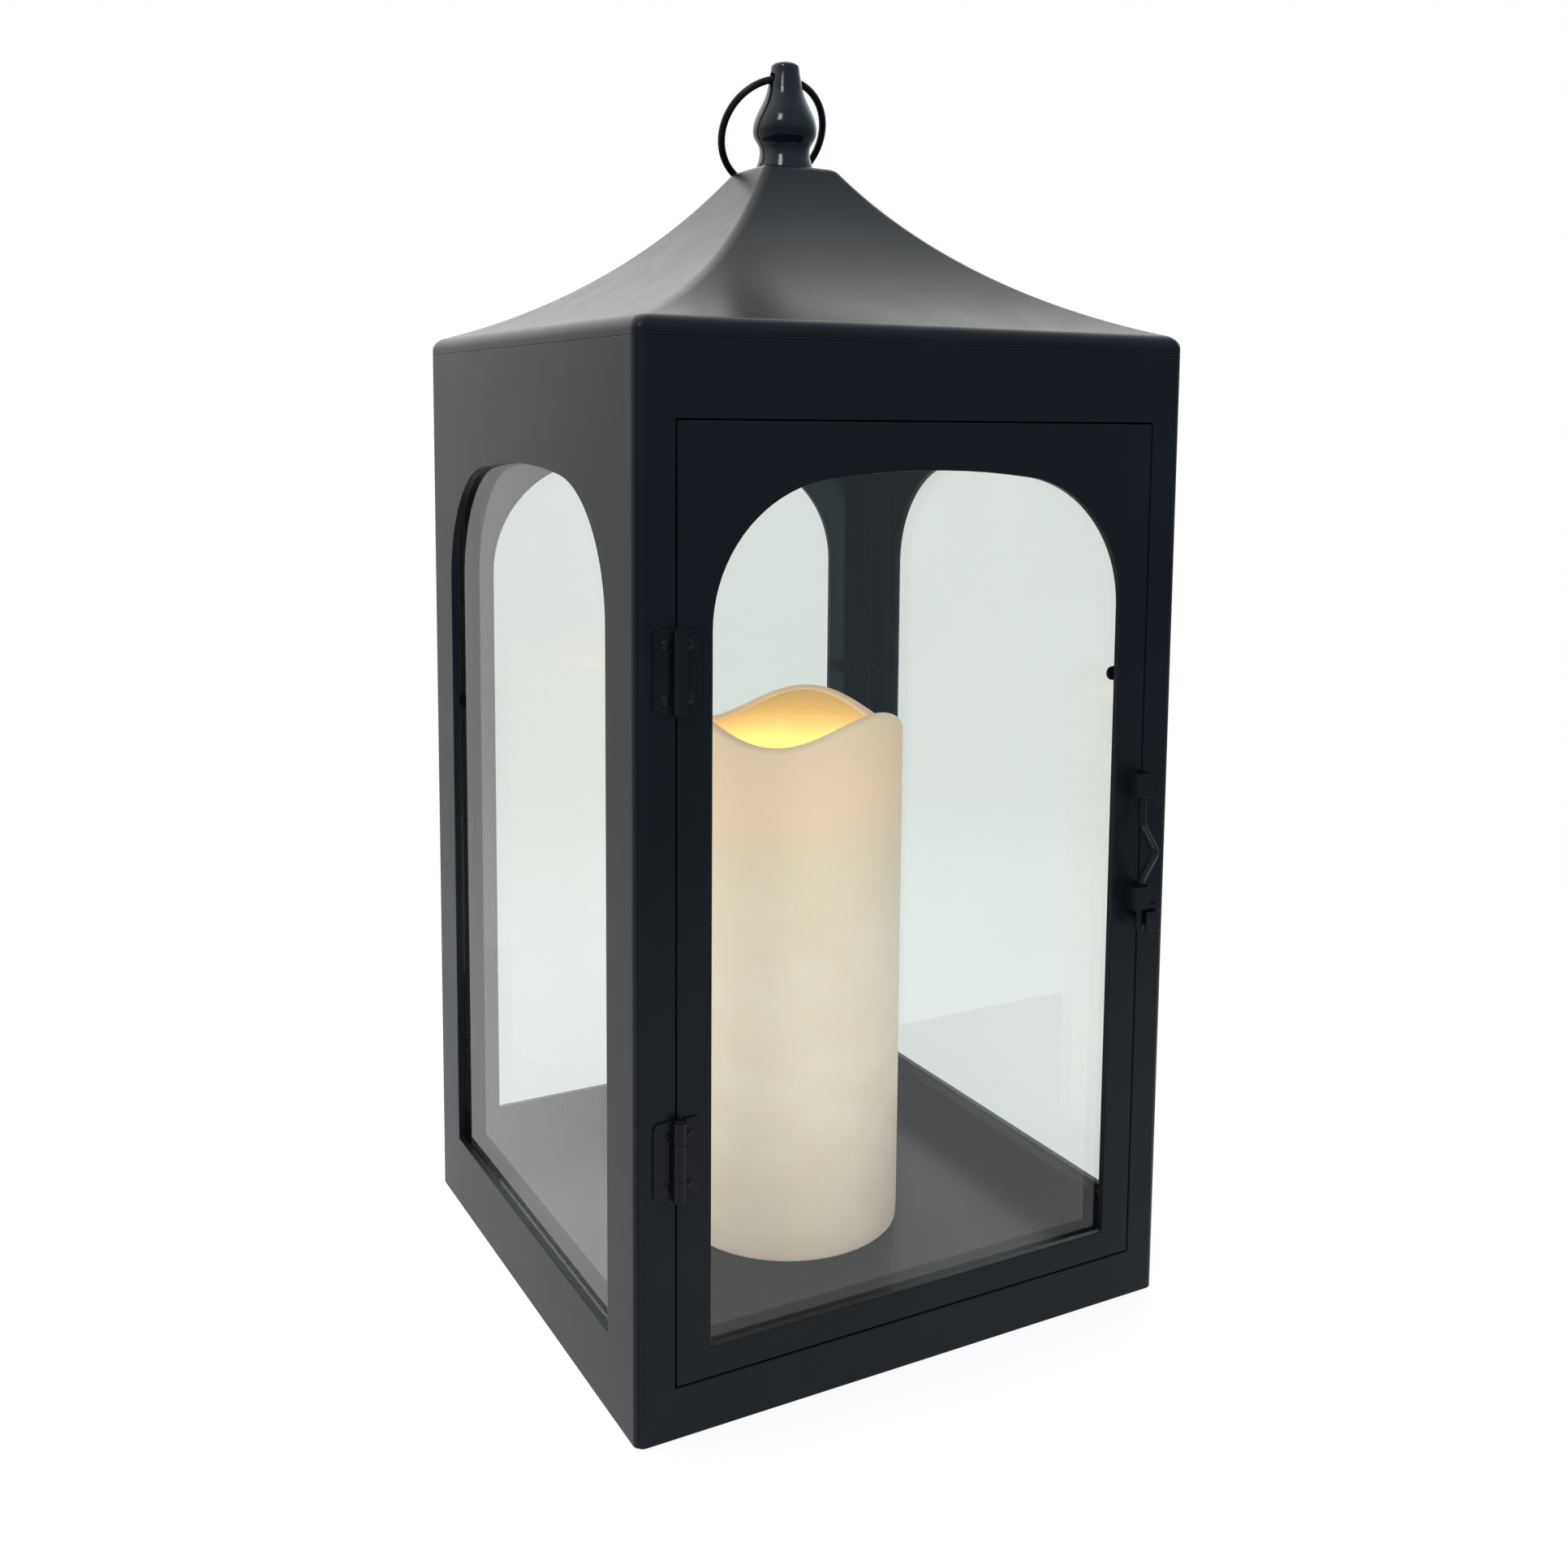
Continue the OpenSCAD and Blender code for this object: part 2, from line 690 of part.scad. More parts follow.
// Cubic curve through four control points, as a list of steps
function curve(a, b, c, d, n) = [for (i = [0:n]) let (t = i / n, u = 1 - t)
    u * u * u * a + 3 * u * u * t * b + 3 * u * t * t * c + t * t * t * d];

// Turned outline, from the flared foot through waist and bulb to the rounded tip
finial_outline = concat(
    [[0, roof_top_z]],
    curve([10.9, roof_top_z], [10.3, roof_top_z + 3], [9.3, 417.5], [9.3, 420.6], 6),
    curve([9.3, 420.6], [9.3, 423.6], [11.9, 424.2], [11.9, 428], 7),
    curve([11.9, 428], [11.9, 433.4], [8.2, 437], [6.7, 442.4], 9),
    curve([6.3, 444.5], [5.9, 446.6], [5.5, 448.6], [5.35, 450.2], 4),
    curve([5.2, 451.3], [4.6, 452.5], [2.6, finial_top_z], [0, finial_top_z], 7));

module finial() {
    color([0.09, 0.11, 0.15]) difference() {
        rotate_extrude() polygon(finial_outline);
        translate([0, 0, hole_z]) rotate([0, 90, 0]) cylinder(h = finial_w, r = ring_hole_r, center = true);
        translate([0, 0, roof_top_z - over])
            cylinder(h = stud_z[1] - roof_top_z + over, r = stud_r + stud_fit);
    }
}

module finial_stud() {
    color("silver") translate([0, 0, stud_z[0]]) cylinder(h = stud_z[1] - stud_z[0], r = stud_r);
}

module finial_washer() {
    color("silver") translate([0, 0, roof_top_z - 2 * sheet_t]) difference() {
        cylinder(h = sheet_t, r = washer_r);
        translate([0, 0, -over]) cylinder(h = sheet_t + 2 * over, r = stud_r + stud_gap);
    }
}

module finial_nut() {
    color("silver") translate([0, 0, roof_top_z - 2 * sheet_t - nut_h]) difference() {
        cylinder(h = nut_h, r = nut_r, $fn = 6);
        translate([0, 0, -over]) cylinder(h = nut_h + 2 * over, r = stud_r + stud_fit);
    }
}

module hanging_ring() {
    color([0.1, 0.1, 0.11]) translate([0, 0, hole_z]) rotate([ring_lean, 0, 0])
        translate([0, 0, ring_sag - ring_r]) rotate([90, 0, 0])
            rotate_extrude($fn = 96) translate([ring_r, 0]) circle(ring_wire_d / 2, $fn = 32);
}

// ---------- candle ----------

module at_candle(z) {
    translate([candle_x, candle_y, z]) children();
}

module at_candle_screws(z) {
    for (s = [-1, 1])
        at_candle(z) translate([s * candle_screw_dx, 0, 0]) children();
}

module at_led_wires(z) {
    for (s = [-1, 1])
        at_candle(z) translate([s * led_wire_dx, 0, 0]) children();
}

module candle_wax() {
    color([0.95, 0.85, 0.64]) at_candle(floor_z) difference() {
        cylinder(h = candle_h, r = candle_r, $fn = 96);
        translate([0, 0, -over]) cylinder(h = candle_h + 2 * over, r = candle_r - wax_t, $fn = 96);
        for (a = dip_angles)
            rotate([0, 0, a]) translate([0, 0, candle_h - rim_dip + dip_r]) rotate([0, 90, 0])
                cylinder(h = 2 * candle_r, r = dip_r, $fn = 180);
    }
}

// Moulded liner inside the wax, closed at the top by the platform that the lamp stands on
module candle_insert() {
    h = platform_z - insert_z;
    color([0.9, 0.75, 0.42]) at_candle(insert_z) difference() {
        cylinder(h = h, r = insert_r, $fn = 96);
        translate([0, 0, -over]) cylinder(h = h - platform_t + over, r = insert_r - insert_t, $fn = 96);
        translate([0, 0, h - platform_t - over]) cylinder(h = platform_t + 2 * over, r = lamp_hole_r);
    }
}

module candle_base() {
    color([0.85, 0.83, 0.78]) difference() {
        at_candle(floor_z) cylinder(h = base_t, r = insert_r, $fn = 96);
        at_candle(floor_z - over) cylinder(h = base_t + 2 * over, r = base_wire_r);
        at_candle_screws(floor_z - over)
            cylinder(h = base_t + 2 * over, r = candle_screw_r + candle_screw_fit);
    }
}

module candle_screws() {
    head_z = boss_top - candle_screw_head[1];
    color("silver") {
        at_candle_screws(head_z) cylinder(h = candle_screw_head[1], r = candle_screw_head[0]);
        at_candle_screws(head_z) cylinder(h = terminal_z - screw_tip_gap - head_z, r = candle_screw_r);
    }
}

module led_board() {
    color([0.2, 0.45, 0.25]) difference() {
        at_candle(board_bottom) cylinder(h = led_board_t, r = led_board_r);
        at_led_wires(board_bottom - over) cylinder(h = led_board_t + 2 * over, r = led_pin_r);
    }
}

// Flame-tipped amber lamp that stands through the platform
lamp_outline = concat([[0, 0], [4, 0]], curve([4, 5], [4.6, 12], [3, 17], [0, 22], 8));

module led_lamp() {
    color([1, 0.75, 0.3]) at_candle(platform_z - platform_t) rotate_extrude() polygon(lamp_outline);
}

module led_wires() {
    bottom = terminal_z + terminal[2];
    color([0.6, 0.1, 0.1]) at_led_wires(bottom) cylinder(h = board_bottom - bottom, r = led_wire_r);
}

module terminal_block() {
    color([0.8, 0.8, 0.8]) at_candle(terminal_z) block(terminal, 0, terminal[2]);
}

// ---------- lead ----------

function unit(v) = v / norm(v);
// Point on a smooth curve through the route, at t between points i and i + 1
function knot(i) = lead_route[max(0, min(len(lead_route) - 1, i))];
function smooth(i, t) = let (p0 = knot(i - 1), p1 = knot(i), p2 = knot(i + 1), p3 = knot(i + 2),
    k = norm(p2 - p1), m1 = k * unit(p2 - p0), m2 = k * unit(p3 - p1), t2 = t * t, t3 = t2 * t)
    (2 * t3 - 3 * t2 + 1) * p1 + (t3 - 2 * t2 + t) * m1 + (3 * t2 - 2 * t3) * p2 + (t3 - t2) * m2;
lead_line = [for (i = [0:len(lead_route) - 2])
    let (n = max(1, round(norm(lead_route[i + 1] - lead_route[i]) / lead_step)))
    for (j = [0:(i == len(lead_route) - 2 ? n : n - 1)]) smooth(i, j / n)];

// Tube swept along a line of points; side is a direction that the line never runs along
module tube(line, d, sides, side) {
    n = len(line);
    dirs = [for (i = [0:n - 1]) unit(line[min(n - 1, i + 1)] - line[max(0, i - 1)])];
    points = [for (i = [0:n - 1]) let (t = dirs[i], u = unit(side - (side * t) * t), v = cross(t, u))
        for (k = [0:sides - 1]) let (a = 360 * k / sides) line[i] + d / 2 * (cos(a) * u + sin(a) * v)];
    walls = [for (i = [0:n - 2], k = [0:sides - 1]) let (m = (k + 1) % sides)
        each [[i * sides + k, (i + 1) * sides + k, i * sides + m],
            [i * sides + m, (i + 1) * sides + k, (i + 1) * sides + m]]];
    ends = [[for (k = [0:sides - 1]) k], [for (k = [sides - 1:-1:0]) (n - 1) * sides + k]];
    polyhedron(points, concat(walls, ends), convexity = 6);
}

module lead() {
    color([0.08, 0.08, 0.08]) tube(lead_line, lead_d, lead_sides, [1, 1, 0]);
}

// Saddles that hold the lead against the inside of the rear wall
module lead_clips() {
    wall = in_half - lead_y;
    color([0.1, 0.1, 0.1]) for (z = lead_clip_zs)
        translate([lead_x, lead_y, z]) linear_extrude(lead_clip_h) difference() {
            union() {
                circle(lead_clip_r);
                translate([-lead_clip_neck / 2, 0]) square([lead_clip_neck, wall]);
                translate([-lead_clip_foot[0] / 2, wall - lead_clip_foot[1]]) square(lead_clip_foot);
            }
            circle(lead_d / 2 + lead_fit);
        }
}

// ---------- solar module ----------

// Local frame: +Z leaves the rear roof face, +Y runs down the slope
module module_frame() {
    translate([0, module_y, module_z]) rotate([-module_tilt, 0, 0]) children();
}

// A length and width, grown by g on every side
function grown(size, g) = [size[0] + 2 * g, size[1] + 2 * g];

module block(size, z0, z1) {
    translate([-size[0] / 2, -size[1] / 2, z0]) cube([size[0], size[1], z1 - z0]);
}

module solar_bezel() {
    color([0.07, 0.07, 0.08]) module_frame() difference() {
        block(bezel, bezel_z, bezel_z + bezel[2]);
        block(grown(cell, cell_gap), cell_z, bezel_z + bezel[2] + over);
        block(grown(cell, -cell_ledge), bezel_z - over, cell_z + over);
    }
}

module solar_cell() {
    color([0.06, 0.07, 0.2]) module_frame() block(cell, cell_z, cell_z + cell[2]);
}

module solar_cover() {
    color([0.6, 0.7, 0.8, 0.4]) module_frame()
        block(grown(cell, cell_gap - cover_gap), cell_z + cell[2], cell_z + cell[2] + cover_t);
}

// Foam gasket: flat under the bezel, and short steps that follow the roof's arc below
module solar_gasket() {
    half = bezel[1] / 2;
    arc = [for (y = [-half:gasket_step:half]) [y, sweep_r - sqrt(pow(sweep_r, 2) - y * y)]];
    color([0.12, 0.12, 0.12]) module_frame() difference() {
        rotate([90, 0, 90]) linear_extrude(bezel[0], center = true)
            polygon(concat(arc, [[half, bezel_z], [-half, bezel_z]]));
        block(grown(shaft, shaft_fit), -over, bezel_z + over);
    }
}

module at_bosses() {
    for (sx = [-1, 1], sy = [-1, 1])
        translate([sx * boss_at[0], sy * boss_at[1], 0]) children();
}

module module_housing() {
    color([0.1, 0.1, 0.1]) module_frame() difference() {
        union() {
            difference() {
                block(shaft, -shaft_depth, bezel_z);
                block(grown(shaft, -shaft_t), -shaft_depth + shaft_t, bezel_z + over);
            }
            at_bosses() translate([0, 0, -shaft_depth + shaft_t / 2])
                cylinder(h = shaft_depth - shaft_t / 2 + bezel_z, r = boss_r);
        }
        at_bosses() translate([0, 0, -shaft_depth - over])
            cylinder(h = shaft_depth + bezel_z + 2 * over, r = screw_r + screw_gap);
        translate([slot_x, slot_y, 0]) block(slider_room, -shaft_depth - over, -shaft_depth + shaft_t + over);
        translate([lead_out[0], lead_out[1], -shaft_depth - over])
            cylinder(h = shaft_t + 2 * over, r = lead_out_r);
    }
}

module module_screws() {
    color("silver") module_frame() at_bosses() {
        translate([0, 0, -shaft_depth - screw_head[1]]) cylinder(h = screw_head[1], r = screw_head[0]);
        translate([0, 0, -shaft_depth - screw_head[1]])
            cylinder(h = shaft_depth + screw_head[1] + bezel_z - screw_gap, r = screw_r);
    }
}

module along_x(x0, x1, r) {
    translate([x0, 0, 0]) rotate([0, 90, 0]) cylinder(h = x1 - x0, r = r);
}

module battery() {
    color([0.25, 0.55, 0.35]) module_frame() translate([0, battery_at[0], battery_at[1]]) {
        along_x(battery_x[0], battery_x[1] - battery_cap[1], battery_r);
        along_x(battery_x[0], battery_x[1], battery_cap[0]);
    }
}

// A flat plate at the cap, and a coil spring on a plate at the battery's other end
module battery_contacts() {
    spring_x = battery_x[0] - spring_gap + contact[0];
    rise = (spring_gap - contact[0] - spring_wire_d / 2) / (360 * spring_turns);
    color("silver") module_frame() translate([0, battery_at[0], battery_at[1]]) {
        for (x = [battery_x[1], battery_x[0] - spring_gap])
            translate([x, -contact[1] / 2, -contact[2] / 2]) cube(contact);
        tube([for (a = [0:24:360 * spring_turns])
            [spring_x + rise * a, spring_r * cos(a), spring_r * sin(a)]],
            spring_wire_d, spring_sides, [1, 0, 0]);
    }
}

module circuit_board() {
    color([0.15, 0.4, 0.25]) module_frame() translate([0, board_at[0], 0])
        block(board, board_at[1], board_at[1] + board[2]);
}

module board_parts() {
    color([0.15, 0.15, 0.15]) module_frame() translate([0, board_at[0], board_at[1] + board[2]]) {
        for (c = chips)
            translate([c[0], c[1], 0]) block([c[2], c[3]], 0, c[4]);
        for (c = cans)
            translate([c[0], c[1], 0]) cylinder(h = c[3], r = c[2]);
    }
}

module switch_body() {
    bottom = -shaft_depth + shaft_t;
    color([0.3, 0.3, 0.3]) module_frame() translate([slot_x, slot_y, 0]) difference() {
        block(switch, bottom, board_at[1]);
        block(slider_room, bottom - over, board_at[1] - over);
    }
}

// Slide switch's thumb piece, which stands through the housing's slot
module switch_slider() {
    color([0.8, 0.8, 0.8]) module_frame() translate([slot_x - slider_travel / 2, slot_y, 0])
        block(slider, -shaft_depth - slider_out, board_at[1] - over - slot_gap);
}

front_frame();
left_panel();
right_panel();
rear_panel();
base_plate();
base_screws();
floor_pan();
floor_grommet();
roof_shell();
roof_skirt();
left_glass();
right_glass();
rear_glass();
wall_glass_clips();
hinge_upper_frame_leaf();
hinge_lower_frame_leaf();
hinge_upper_pin();
hinge_lower_pin();
hinge_frame_rivets();
door_bumpers();
latch_keeper();
keeper_rivet();
finial();
finial_stud();
finial_washer();
finial_nut();
candle_wax();
candle_insert();
candle_base();
candle_screws();
led_board();
led_lamp();
led_wires();
terminal_block();
lead();
lead_clips();
solar_bezel();
solar_cell();
solar_cover();
solar_gasket();
module_housing();
module_screws();
battery();
battery_contacts();
circuit_board();
board_parts();
switch_body();
door_panel();
door_glass();
door_glass_clips();
hinge_upper_door_leaf();
hinge_lower_door_leaf();
hinge_door_rivets();
latch_upper_guide();
latch_lower_guide();
latch_bolt();
hanging_ring();
switch_slider();
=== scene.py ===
"""Looks of the solar lantern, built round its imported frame. Metres, +Z up, door towards -Y, hinges at -X."""

import json
import math

import bmesh
import bpy
import numpy as np
from mathutils import Matrix, Vector


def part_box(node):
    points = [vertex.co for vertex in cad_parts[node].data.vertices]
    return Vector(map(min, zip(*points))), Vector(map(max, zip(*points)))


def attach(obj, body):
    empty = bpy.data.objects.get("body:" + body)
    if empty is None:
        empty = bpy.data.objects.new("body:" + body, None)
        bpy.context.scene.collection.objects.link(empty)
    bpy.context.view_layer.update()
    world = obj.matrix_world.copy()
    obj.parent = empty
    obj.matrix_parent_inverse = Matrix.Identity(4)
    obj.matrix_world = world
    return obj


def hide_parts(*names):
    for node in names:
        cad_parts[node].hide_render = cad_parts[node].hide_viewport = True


MM = 0.001

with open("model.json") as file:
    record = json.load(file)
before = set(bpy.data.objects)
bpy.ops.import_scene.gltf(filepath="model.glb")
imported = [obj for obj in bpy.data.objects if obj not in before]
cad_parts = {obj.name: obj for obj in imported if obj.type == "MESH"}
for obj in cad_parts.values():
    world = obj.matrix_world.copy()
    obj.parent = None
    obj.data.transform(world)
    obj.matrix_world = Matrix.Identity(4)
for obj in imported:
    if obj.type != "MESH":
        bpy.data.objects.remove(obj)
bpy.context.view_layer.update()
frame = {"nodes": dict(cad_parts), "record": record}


# ---------- camera ----------

CAMERA_AT = Vector((-0.29215, -0.54737, 0.32150))
CAMERA_FORWARD = Vector((0.48421, 0.86847, -0.10629))
CAMERA_RIGHT = Vector((0.87388, -0.48605, 0.00959))
CAMERA_LENS = 37.42
CAMERA_SHIFT = (-0.0171, -0.1210)
CAMERA_SENSOR = 36
CAMERA_CLIP = (0.02, 60)


def make_camera():
    """A camera at the photograph's viewing angle."""
    data = bpy.data.cameras.new("camera")
    data.sensor_width = CAMERA_SENSOR
    data.lens = CAMERA_LENS
    data.shift_x, data.shift_y = CAMERA_SHIFT
    data.clip_start, data.clip_end = CAMERA_CLIP
    forward = CAMERA_FORWARD.normalized()
    right = (CAMERA_RIGHT - CAMERA_RIGHT.dot(forward) * forward).normalized()
    up = right.cross(forward)
    camera = bpy.data.objects.new("camera", data)
    turn = Matrix((right, up, -forward)).transposed().to_4x4()
    camera.matrix_world = Matrix.Translation(CAMERA_AT) @ turn
    bpy.context.scene.collection.objects.link(camera)
    bpy.context.scene.camera = camera


# ---------- finishes ----------

class Nodes:
    """A node tree being made, with short calls for the nodes that several trees share."""

    def __init__(self, tree):
        self.tree = tree

    def node(self, kind, **settings):
        made = self.tree.nodes.new(kind)
        for name, value in settings.items():
            setattr(made, name, value)
        return made

    def feed(self, socket, value):
        """Links a socket into another, or sets a plain value on it."""
        if isinstance(value, bpy.types.NodeSocket):
            self.tree.links.new(value, socket)
        else:
            socket.default_value = value

    def spread(self, value, low, high, to_low, to_high):
        """Maps low..high of a value onto to_low..to_high, with soft ends."""
        made = self.node("ShaderNodeMapRange", interpolation_type="SMOOTHSTEP")
        self.feed(made.inputs["Value"], value)
        self.feed(made.inputs["From Min"], low)
        self.feed(made.inputs["From Max"], high)
        self.feed(made.inputs["To Min"], to_low)
        self.feed(made.inputs["To Max"], to_high)
        return made.outputs["Result"]

    def blend(self, share, first, second):
        """Colour that goes from first to second with share."""
        made = self.node("ShaderNodeMix", data_type="RGBA")
        colours = [socket for socket in made.inputs if socket.type == "RGBA"]
        self.feed(made.inputs["Factor"], share)
        for socket, value in zip(colours, (first, second)):
            self.feed(socket, (*value, 1) if isinstance(value, tuple) else value)
        return next(socket for socket in made.outputs if socket.type == "RGBA")

    def maths(self, operation, first, second):
        made = self.node("ShaderNodeMath", operation=operation)
        self.feed(made.inputs[0], first)
        self.feed(made.inputs[1], second)
        return made.outputs["Value"]

    def axis(self, place, name):
        """X, Y or Z of a vector."""
        made = self.node("ShaderNodeSeparateXYZ")
        self.feed(made.inputs["Vector"], place)
        return made.outputs[name]


class Finish(Nodes):
    """A material being made."""

    def __init__(self, name, colour, roughness, metallic=0.0, specular=0.5):
        self.material = bpy.data.materials.new(name)
        self.material.use_nodes = True
        super().__init__(self.material.node_tree)
        self.shader = self.tree.nodes["Principled BSDF"]
        self.output = self.tree.nodes["Material Output"]
        self.shader.inputs["Base Color"].default_value = (*colour, 1)
        self.shader.inputs["Roughness"].default_value = roughness
        self.shader.inputs["Metallic"].default_value = metallic
        self.shader.inputs["Specular IOR Level"].default_value = specular
        self.place = self.node("ShaderNodeTexCoord").outputs["Object"]

    def noise(self, size, detail=2.0, roughness=0.5, stretch=(1, 1, 1)):
        """Noise whose blobs are about size metres across."""
        place = self.node("ShaderNodeMapping")
        self.feed(place.inputs["Vector"], self.place)
        self.feed(place.inputs["Scale"], stretch)
        made = self.node("ShaderNodeTexNoise")
        self.feed(made.inputs["Vector"], place.outputs["Vector"])
        self.feed(made.inputs["Scale"], 1 / size)
        self.feed(made.inputs["Detail"], detail)
        self.feed(made.inputs["Roughness"], roughness)
        return made.outputs["Fac"]

    def height(self, low, high):
        """0 below low and 1 above high, in metres over the lantern's base."""
        return self.spread(self.axis(self.place, "Z"), low, high, 0, 1)

    def colour(self, value):
        self.feed(self.shader.inputs["Base Color"], value)

    def roughness(self, value):
        self.feed(self.shader.inputs["Roughness"], value)

    def bump(self, height, depth, below=None):
        """Relief of depth metres; below is an earlier bump that this one lies on."""
        made = self.node("ShaderNodeBump")
        self.feed(made.inputs["Height"], height)
        self.feed(made.inputs["Distance"], depth)
        if below is not None:
            self.feed(made.inputs["Normal"], below)
        self.feed(self.shader.inputs["Normal"], made.outputs["Normal"])
        return made.outputs["Normal"]


# Spans of noise over which a finish changes: gently, by its middle part, and in patches
GENTLE = (0.3, 0.7)
MIDDLE = (0.35, 0.65)
PATCHY = (0.35, 0.7)

COAT = (0.0042, 0.0056, 0.0080)
COAT_PALE = (0.0052, 0.0068, 0.0094)
COAT_ROUGHNESS = 0.31
COAT_SPECULAR = 0.11
STEEL = (0.0035, 0.0042, 0.0060)
STEEL_PALE = (0.0045, 0.0055, 0.0075)
STEEL_ROUGHNESS = 0.30
STEEL_SPECULAR = 0.13
ENAMEL = (0.0030, 0.0045, 0.0080)
ENAMEL_PALE = (0.0040, 0.0055, 0.0090)
ENAMEL_ROUGHNESS = 0.14
ENAMEL_SPECULAR = 0.24
DUST_PATCH = 45 * MM
GLOSS_PATCH = 16 * MM
GLOSS_CHANGE = (-0.012, 0.015)
PEEL_SIZE = 2.2 * MM
PEEL_DEPTH = 0.001 * MM
FINE_PEEL_SIZE = 0.55 * MM
FINE_PEEL_DEPTH = 0.0001 * MM


def painted(name, dark, light, roughness, specular):
    """Satin coat on sheet steel: a fine orange peel, patchy gloss and a trace of dust."""
    finish = Finish(name, dark, roughness, specular=specular)
    dust = finish.spread(finish.noise(DUST_PATCH, 3), *PATCHY, 0, 1)
    finish.colour(finish.blend(dust, dark, light))
    smooth, rough = (roughness + change for change in GLOSS_CHANGE)
    finish.roughness(finish.spread(finish.noise(GLOSS_PATCH, 3), *GENTLE, smooth, rough))
    peel = finish.bump(finish.noise(PEEL_SIZE, 1), PEEL_DEPTH)
    finish.bump(finish.noise(FINE_PEEL_SIZE, 2), FINE_PEEL_DEPTH, peel)
    return finish.material


ZINC = (0.55, 0.56, 0.57)
ZINC_ROUGHNESS = 0.38
MARK_SIZE = 4 * MM
MARK_STRETCH = (1, 1, 0.08)
MARK_DEPTH = 0.02 * MM
MARK_DULL = 0.75
MARK_ROUGHNESS = (-0.08, 0.12)


def metal(name, colour, roughness):
    """Bare plated metal with fine marks drawn one way."""
    finish = Finish(name, colour, roughness, metallic=1.0)
    marks = finish.noise(MARK_SIZE, 4, 0.7, stretch=MARK_STRETCH)
    dull = tuple(MARK_DULL * part for part in colour)
    finish.colour(finish.blend(finish.spread(marks, *MIDDLE, 0, 1), colour, dull))
    smooth, rough = (roughness + change for change in MARK_ROUGHNESS)
    finish.roughness(finish.spread(marks, *GENTLE, smooth, rough))
    finish.bump(marks, MARK_DEPTH)
    return finish.material


GRAIN_SIZE = 0.6 * MM
GRAIN_DEPTH = 0.012 * MM
GRAIN_ROUGHNESS = (-0.05, 0.08)
STREAK_SIZE = 10 * MM
STREAK_GAIN = 1.15
STREAK_LIFT = 0.004


def moulded(name, colour, roughness):
    """Moulded plastic or rubber with a fine spark-eroded texture."""
    finish = Finish(name, colour, roughness)
    grain = finish.noise(GRAIN_SIZE, 2)
    pale = tuple(STREAK_GAIN * part + STREAK_LIFT for part in colour)
    finish.colour(finish.blend(finish.spread(finish.noise(STREAK_SIZE, 3), *MIDDLE, 0, 1), colour, pale))
    smooth, rough = (roughness + change for change in GRAIN_ROUGHNESS)
    finish.roughness(finish.spread(grain, *GENTLE, smooth, rough))
    finish.bump(grain, GRAIN_DEPTH)
    return finish.material


GLASS_IOR = 1.5
GLASS_TINT = (0.940, 0.957, 0.946)
GLASS_ROUGHNESS = 0.012
RESIN_TINT = (0.93, 0.95, 0.97)
RESIN_ROUGHNESS = 0.03
HAZE_SIZE = 120 * MM
HAZE_DIM = 0.994


def window_glass(name, tint, mirror_roughness):
    """Flat pane: what is behind it shows through, tinted, under a mirror that grows with the angle."""
    finish = Finish(name, tint, mirror_roughness)
    clear = finish.node("ShaderNodeBsdfTransparent")
    haze = finish.spread(finish.noise(HAZE_SIZE, 2), *PATCHY, 0, 1)
    cloudy = tuple(HAZE_DIM * part for part in tint)
    finish.feed(clear.inputs["Color"], finish.blend(haze, tint, cloudy))
    mirror = finish.node("ShaderNodeBsdfGlossy")
    finish.feed(mirror.inputs["Roughness"], mirror_roughness)
    back = finish.node("ShaderNodeNewGeometry").outputs["Backfacing"]
    index = finish.node("ShaderNodeMapRange")
    finish.feed(index.inputs["Value"], back)
    finish.feed(index.inputs["To Min"], GLASS_IOR)
    finish.feed(index.inputs["To Max"], 1 / GLASS_IOR)
    fresnel = finish.node("ShaderNodeFresnel")
    finish.feed(fresnel.inputs["IOR"], index.outputs["Result"])
    mixed = finish.node("ShaderNodeMixShader")
    finish.feed(mixed.inputs[0], fresnel.outputs["Fac"])
    finish.feed(mixed.inputs[1], clear.outputs["BSDF"])
    finish.feed(mixed.inputs[2], mirror.outputs["BSDF"])
    finish.feed(finish.output.inputs["Surface"], mixed.outputs["Shader"])
    return finish.material


# The rim colour is painted warm lamp light, and both glows are painted light given off by the wax itself
WAX = (0.86, 0.71, 0.555)
WAX_PALE = (0.91, 0.78, 0.645)
WAX_RIM_PAINTED_LIGHT = (0.87, 0.715, 0.53)
WAX_PAINTED_GLOW = (0.17, 0.12, 0.10)
WAX_RIM_PAINTED_GLOW = (0.21, 0.135, 0.08)
WAX_ROUGHNESS = 0.48
WAX_SPECULAR = 0.4
WAX_DEPTH = 6 * MM
WAX_DEPTH_PARTS = (1.0, 0.55, 0.3)
WAX_SCATTER = 0.55
LAMP_REACH = (110 * MM, 10 * MM)
WAX_MOTTLE_SIZE = 20 * MM
RIPPLE_SIZE = 12 * MM
RIPPLE_DEPTH = 0.25 * MM
WAX_GRAIN_SIZE = 1.2 * MM
WAX_GRAIN_DEPTH = 0.012 * MM


